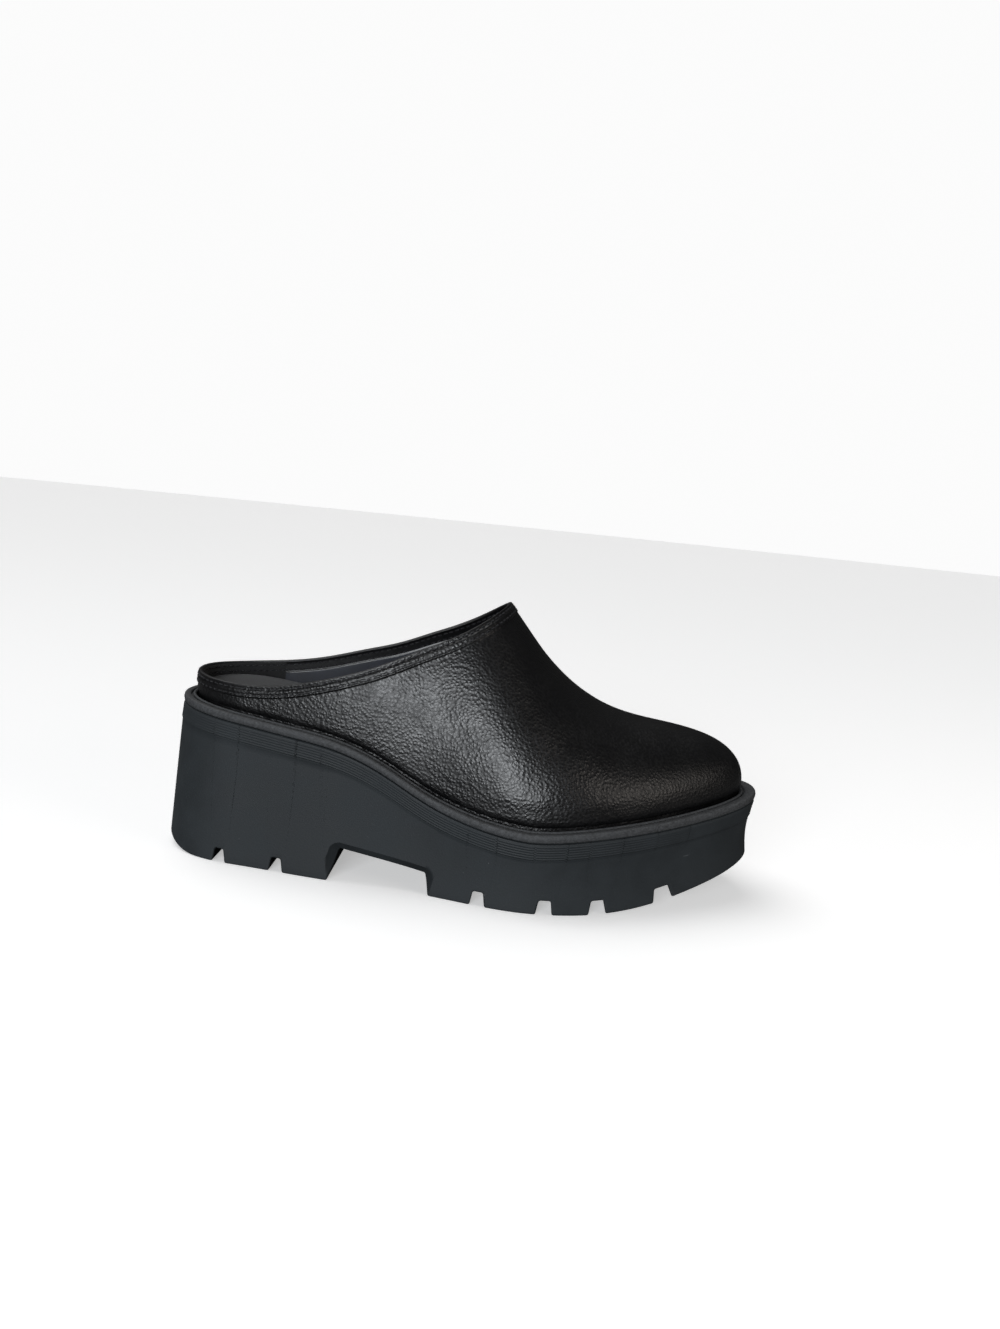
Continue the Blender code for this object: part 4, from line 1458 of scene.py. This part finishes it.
def make_world(stage):
    """Even light that grows from the horizon to the zenith; the camera sees a plain backdrop."""
    world = bpy.data.worlds.new("studio")
    world.use_nodes = True
    tree = world.node_tree
    direction = add_node(tree, "ShaderNodeTexCoord").outputs["Generated"]
    up = add_node(tree, "ShaderNodeSeparateXYZ", {"Vector": direction}).outputs["Z"]
    light = ramp(tree, up, 0.0, 1.0, stage.horizon, stage.zenith)
    seen = add_node(tree, "ShaderNodeLightPath").outputs["Is Camera Ray"]
    strength = add_node(tree, "ShaderNodeMix", {0: seen, 2: light, 3: stage.backdrop})
    background = tree.nodes["Background"]
    background.inputs["Color"].default_value = (1.0, 1.0, 1.0, 1.0)
    tree.links.new(strength.outputs[0], background.inputs["Strength"])
    bpy.context.scene.world = world


def add_light(light, place, target):
    """Object for a light at a place, turned so that its -Z axis looks at a target."""
    thing = bpy.data.objects.new(light.name, light)
    direction = np.array(target) - np.array(place)
    direction /= np.linalg.norm(direction)
    right = np.cross(direction, [0.0, 0.0, 1.0])
    right /= np.linalg.norm(right)
    matrix = np.eye(4)
    matrix[:3, 0], matrix[:3, 1], matrix[:3, 2] = right, np.cross(right, direction), -direction
    matrix[:3, 3] = place
    thing.matrix_world = Matrix(matrix.tolist())
    bpy.context.scene.collection.objects.link(thing)


def add_camera():
    """Camera of the photograph: yaw, pitch and roll about its own axes."""
    yaw, pitch, roll = CAMERA_TURN
    forward = np.array(
        [-math.sin(yaw) * math.cos(pitch), math.cos(yaw) * math.cos(pitch), -math.sin(pitch)]
    )
    right = np.array([math.cos(yaw), math.sin(yaw), 0.0])
    down = np.cross(forward, right)
    rolled_right = math.cos(roll) * right - math.sin(roll) * down
    rolled_down = math.sin(roll) * right + math.cos(roll) * down
    matrix = np.eye(4)
    matrix[:3, 0], matrix[:3, 1], matrix[:3, 2] = rolled_right, -rolled_down, -forward
    matrix[:3, 3] = CAMERA_PLACE
    camera = bpy.data.cameras.new("camera")
    camera.sensor_width = 36.0
    camera.lens = CAMERA_FOCAL * camera.sensor_width / PHOTO_HEIGHT
    camera.clip_start = 0.01
    thing = bpy.data.objects.new("camera", camera)
    thing.matrix_world = Matrix(matrix.tolist())
    bpy.context.scene.collection.objects.link(thing)
    bpy.context.scene.camera = thing


class CLOG_OT_sole(bpy.types.Operator):
    """Build the moulded sole with its lugs, arch and rib line"""

    bl_idname = "clog.sole"
    bl_label = "Sole"

    def execute(self, context):
        make_sole(context.scene.clog_sole)
        return {"FINISHED"}


class CLOG_OT_welt(bpy.types.Operator):
    """Build the welt strip round the top of the sole"""

    bl_idname = "clog.welt"
    bl_label = "Welt"

    def execute(self, context):
        make_welt(context.scene.clog_sole)
        return {"FINISHED"}


class CLOG_OT_footbed(bpy.types.Operator):
    """Build the padded footbed"""

    bl_idname = "clog.footbed"
    bl_label = "Footbed"

    def execute(self, context):
        make_footbed(context.scene.clog_sole)
        return {"FINISHED"}


class CLOG_OT_upper(bpy.types.Operator):
    """Build the leather upper with its collar band and lining"""

    bl_idname = "clog.upper"
    bl_label = "Upper"

    def execute(self, context):
        make_upper(context.scene.clog_leather, context.scene.clog_stitching)
        return {"FINISHED"}


class CLOG_OT_stitches(bpy.types.Operator):
    """Build the rows of stitches along the collar band"""

    bl_idname = "clog.stitches"
    bl_label = "Stitches"

    def execute(self, context):
        make_stitches(context.scene.clog_stitching)
        return {"FINISHED"}


class CLOG_OT_stage(bpy.types.Operator):
    """Build the floor, lights and camera"""

    bl_idname = "clog.stage"
    bl_label = "Stage"

    def execute(self, context):
        stage = context.scene.clog_stage
        make_floor(stage)
        make_world(stage)
        window = bpy.data.lights.new("window", "AREA")
        window.shape = "RECTANGLE"
        window.size, window.size_y = WINDOW_SIZE
        window.energy, window.color = stage.window_power, (0.93, 0.965, 1.0)
        add_light(window, WINDOW_PLACE, (0.0, 0.0, 0.07))
        top = bpy.data.lights.new("top", "SUN")
        top.energy, top.angle = stage.top_strength, stage.top_spread
        add_light(top, TOP_PLACE, (0.0, 0.0, 0.0))
        rim = bpy.data.lights.new("rim", "AREA")
        rim.energy, rim.size, rim.color = stage.rim_power, RIM_SIZE, (1.0, 0.93, 0.86)
        add_light(rim, RIM_PLACE, (0.10, 0.0, 0.05))
        context.scene.view_settings.view_transform = "Standard"
        add_camera()
        return {"FINISHED"}


OPERATORS = (
    CLOG_OT_stage,
    CLOG_OT_sole,
    CLOG_OT_welt,
    CLOG_OT_footbed,
    CLOG_OT_upper,
    CLOG_OT_stitches,
)
GROUPS = {
    "clog_leather": ClogLeather,
    "clog_stitching": ClogStitching,
    "clog_sole": ClogSole,
    "clog_stage": ClogStage,
}


class CLOG_PT_panel(bpy.types.Panel):
    """Sizes, colours and pieces of the clog"""

    bl_label = "Platform Clog"
    bl_idname = "CLOG_PT_panel"
    bl_space_type = "VIEW_3D"
    bl_region_type = "UI"
    bl_category = "Clog"

    def draw(self, context):
        for name, group in GROUPS.items():
            box = self.layout.box()
            for entry in group.__annotations__:
                box.prop(getattr(context.scene, name), entry)
        for operator in OPERATORS:
            self.layout.operator(operator.bl_idname)


def register():
    for group in GROUPS.values():
        bpy.utils.register_class(group)
    for operator in OPERATORS:
        bpy.utils.register_class(operator)
    bpy.utils.register_class(CLOG_PT_panel)
    for name, group in GROUPS.items():
        setattr(bpy.types.Scene, name, bpy.props.PointerProperty(type=group))


def unregister():
    for name in GROUPS:
        delattr(bpy.types.Scene, name)
    bpy.utils.unregister_class(CLOG_PT_panel)
    for thing in (*reversed(OPERATORS), *reversed(GROUPS.values())):
        bpy.utils.unregister_class(thing)


def main():
    """Builds everything."""
    register()
    for operator in OPERATORS:
        group, name = operator.bl_idname.split(".")
        getattr(getattr(bpy.ops, group), name)()


if __name__ == "__main__":
    main()
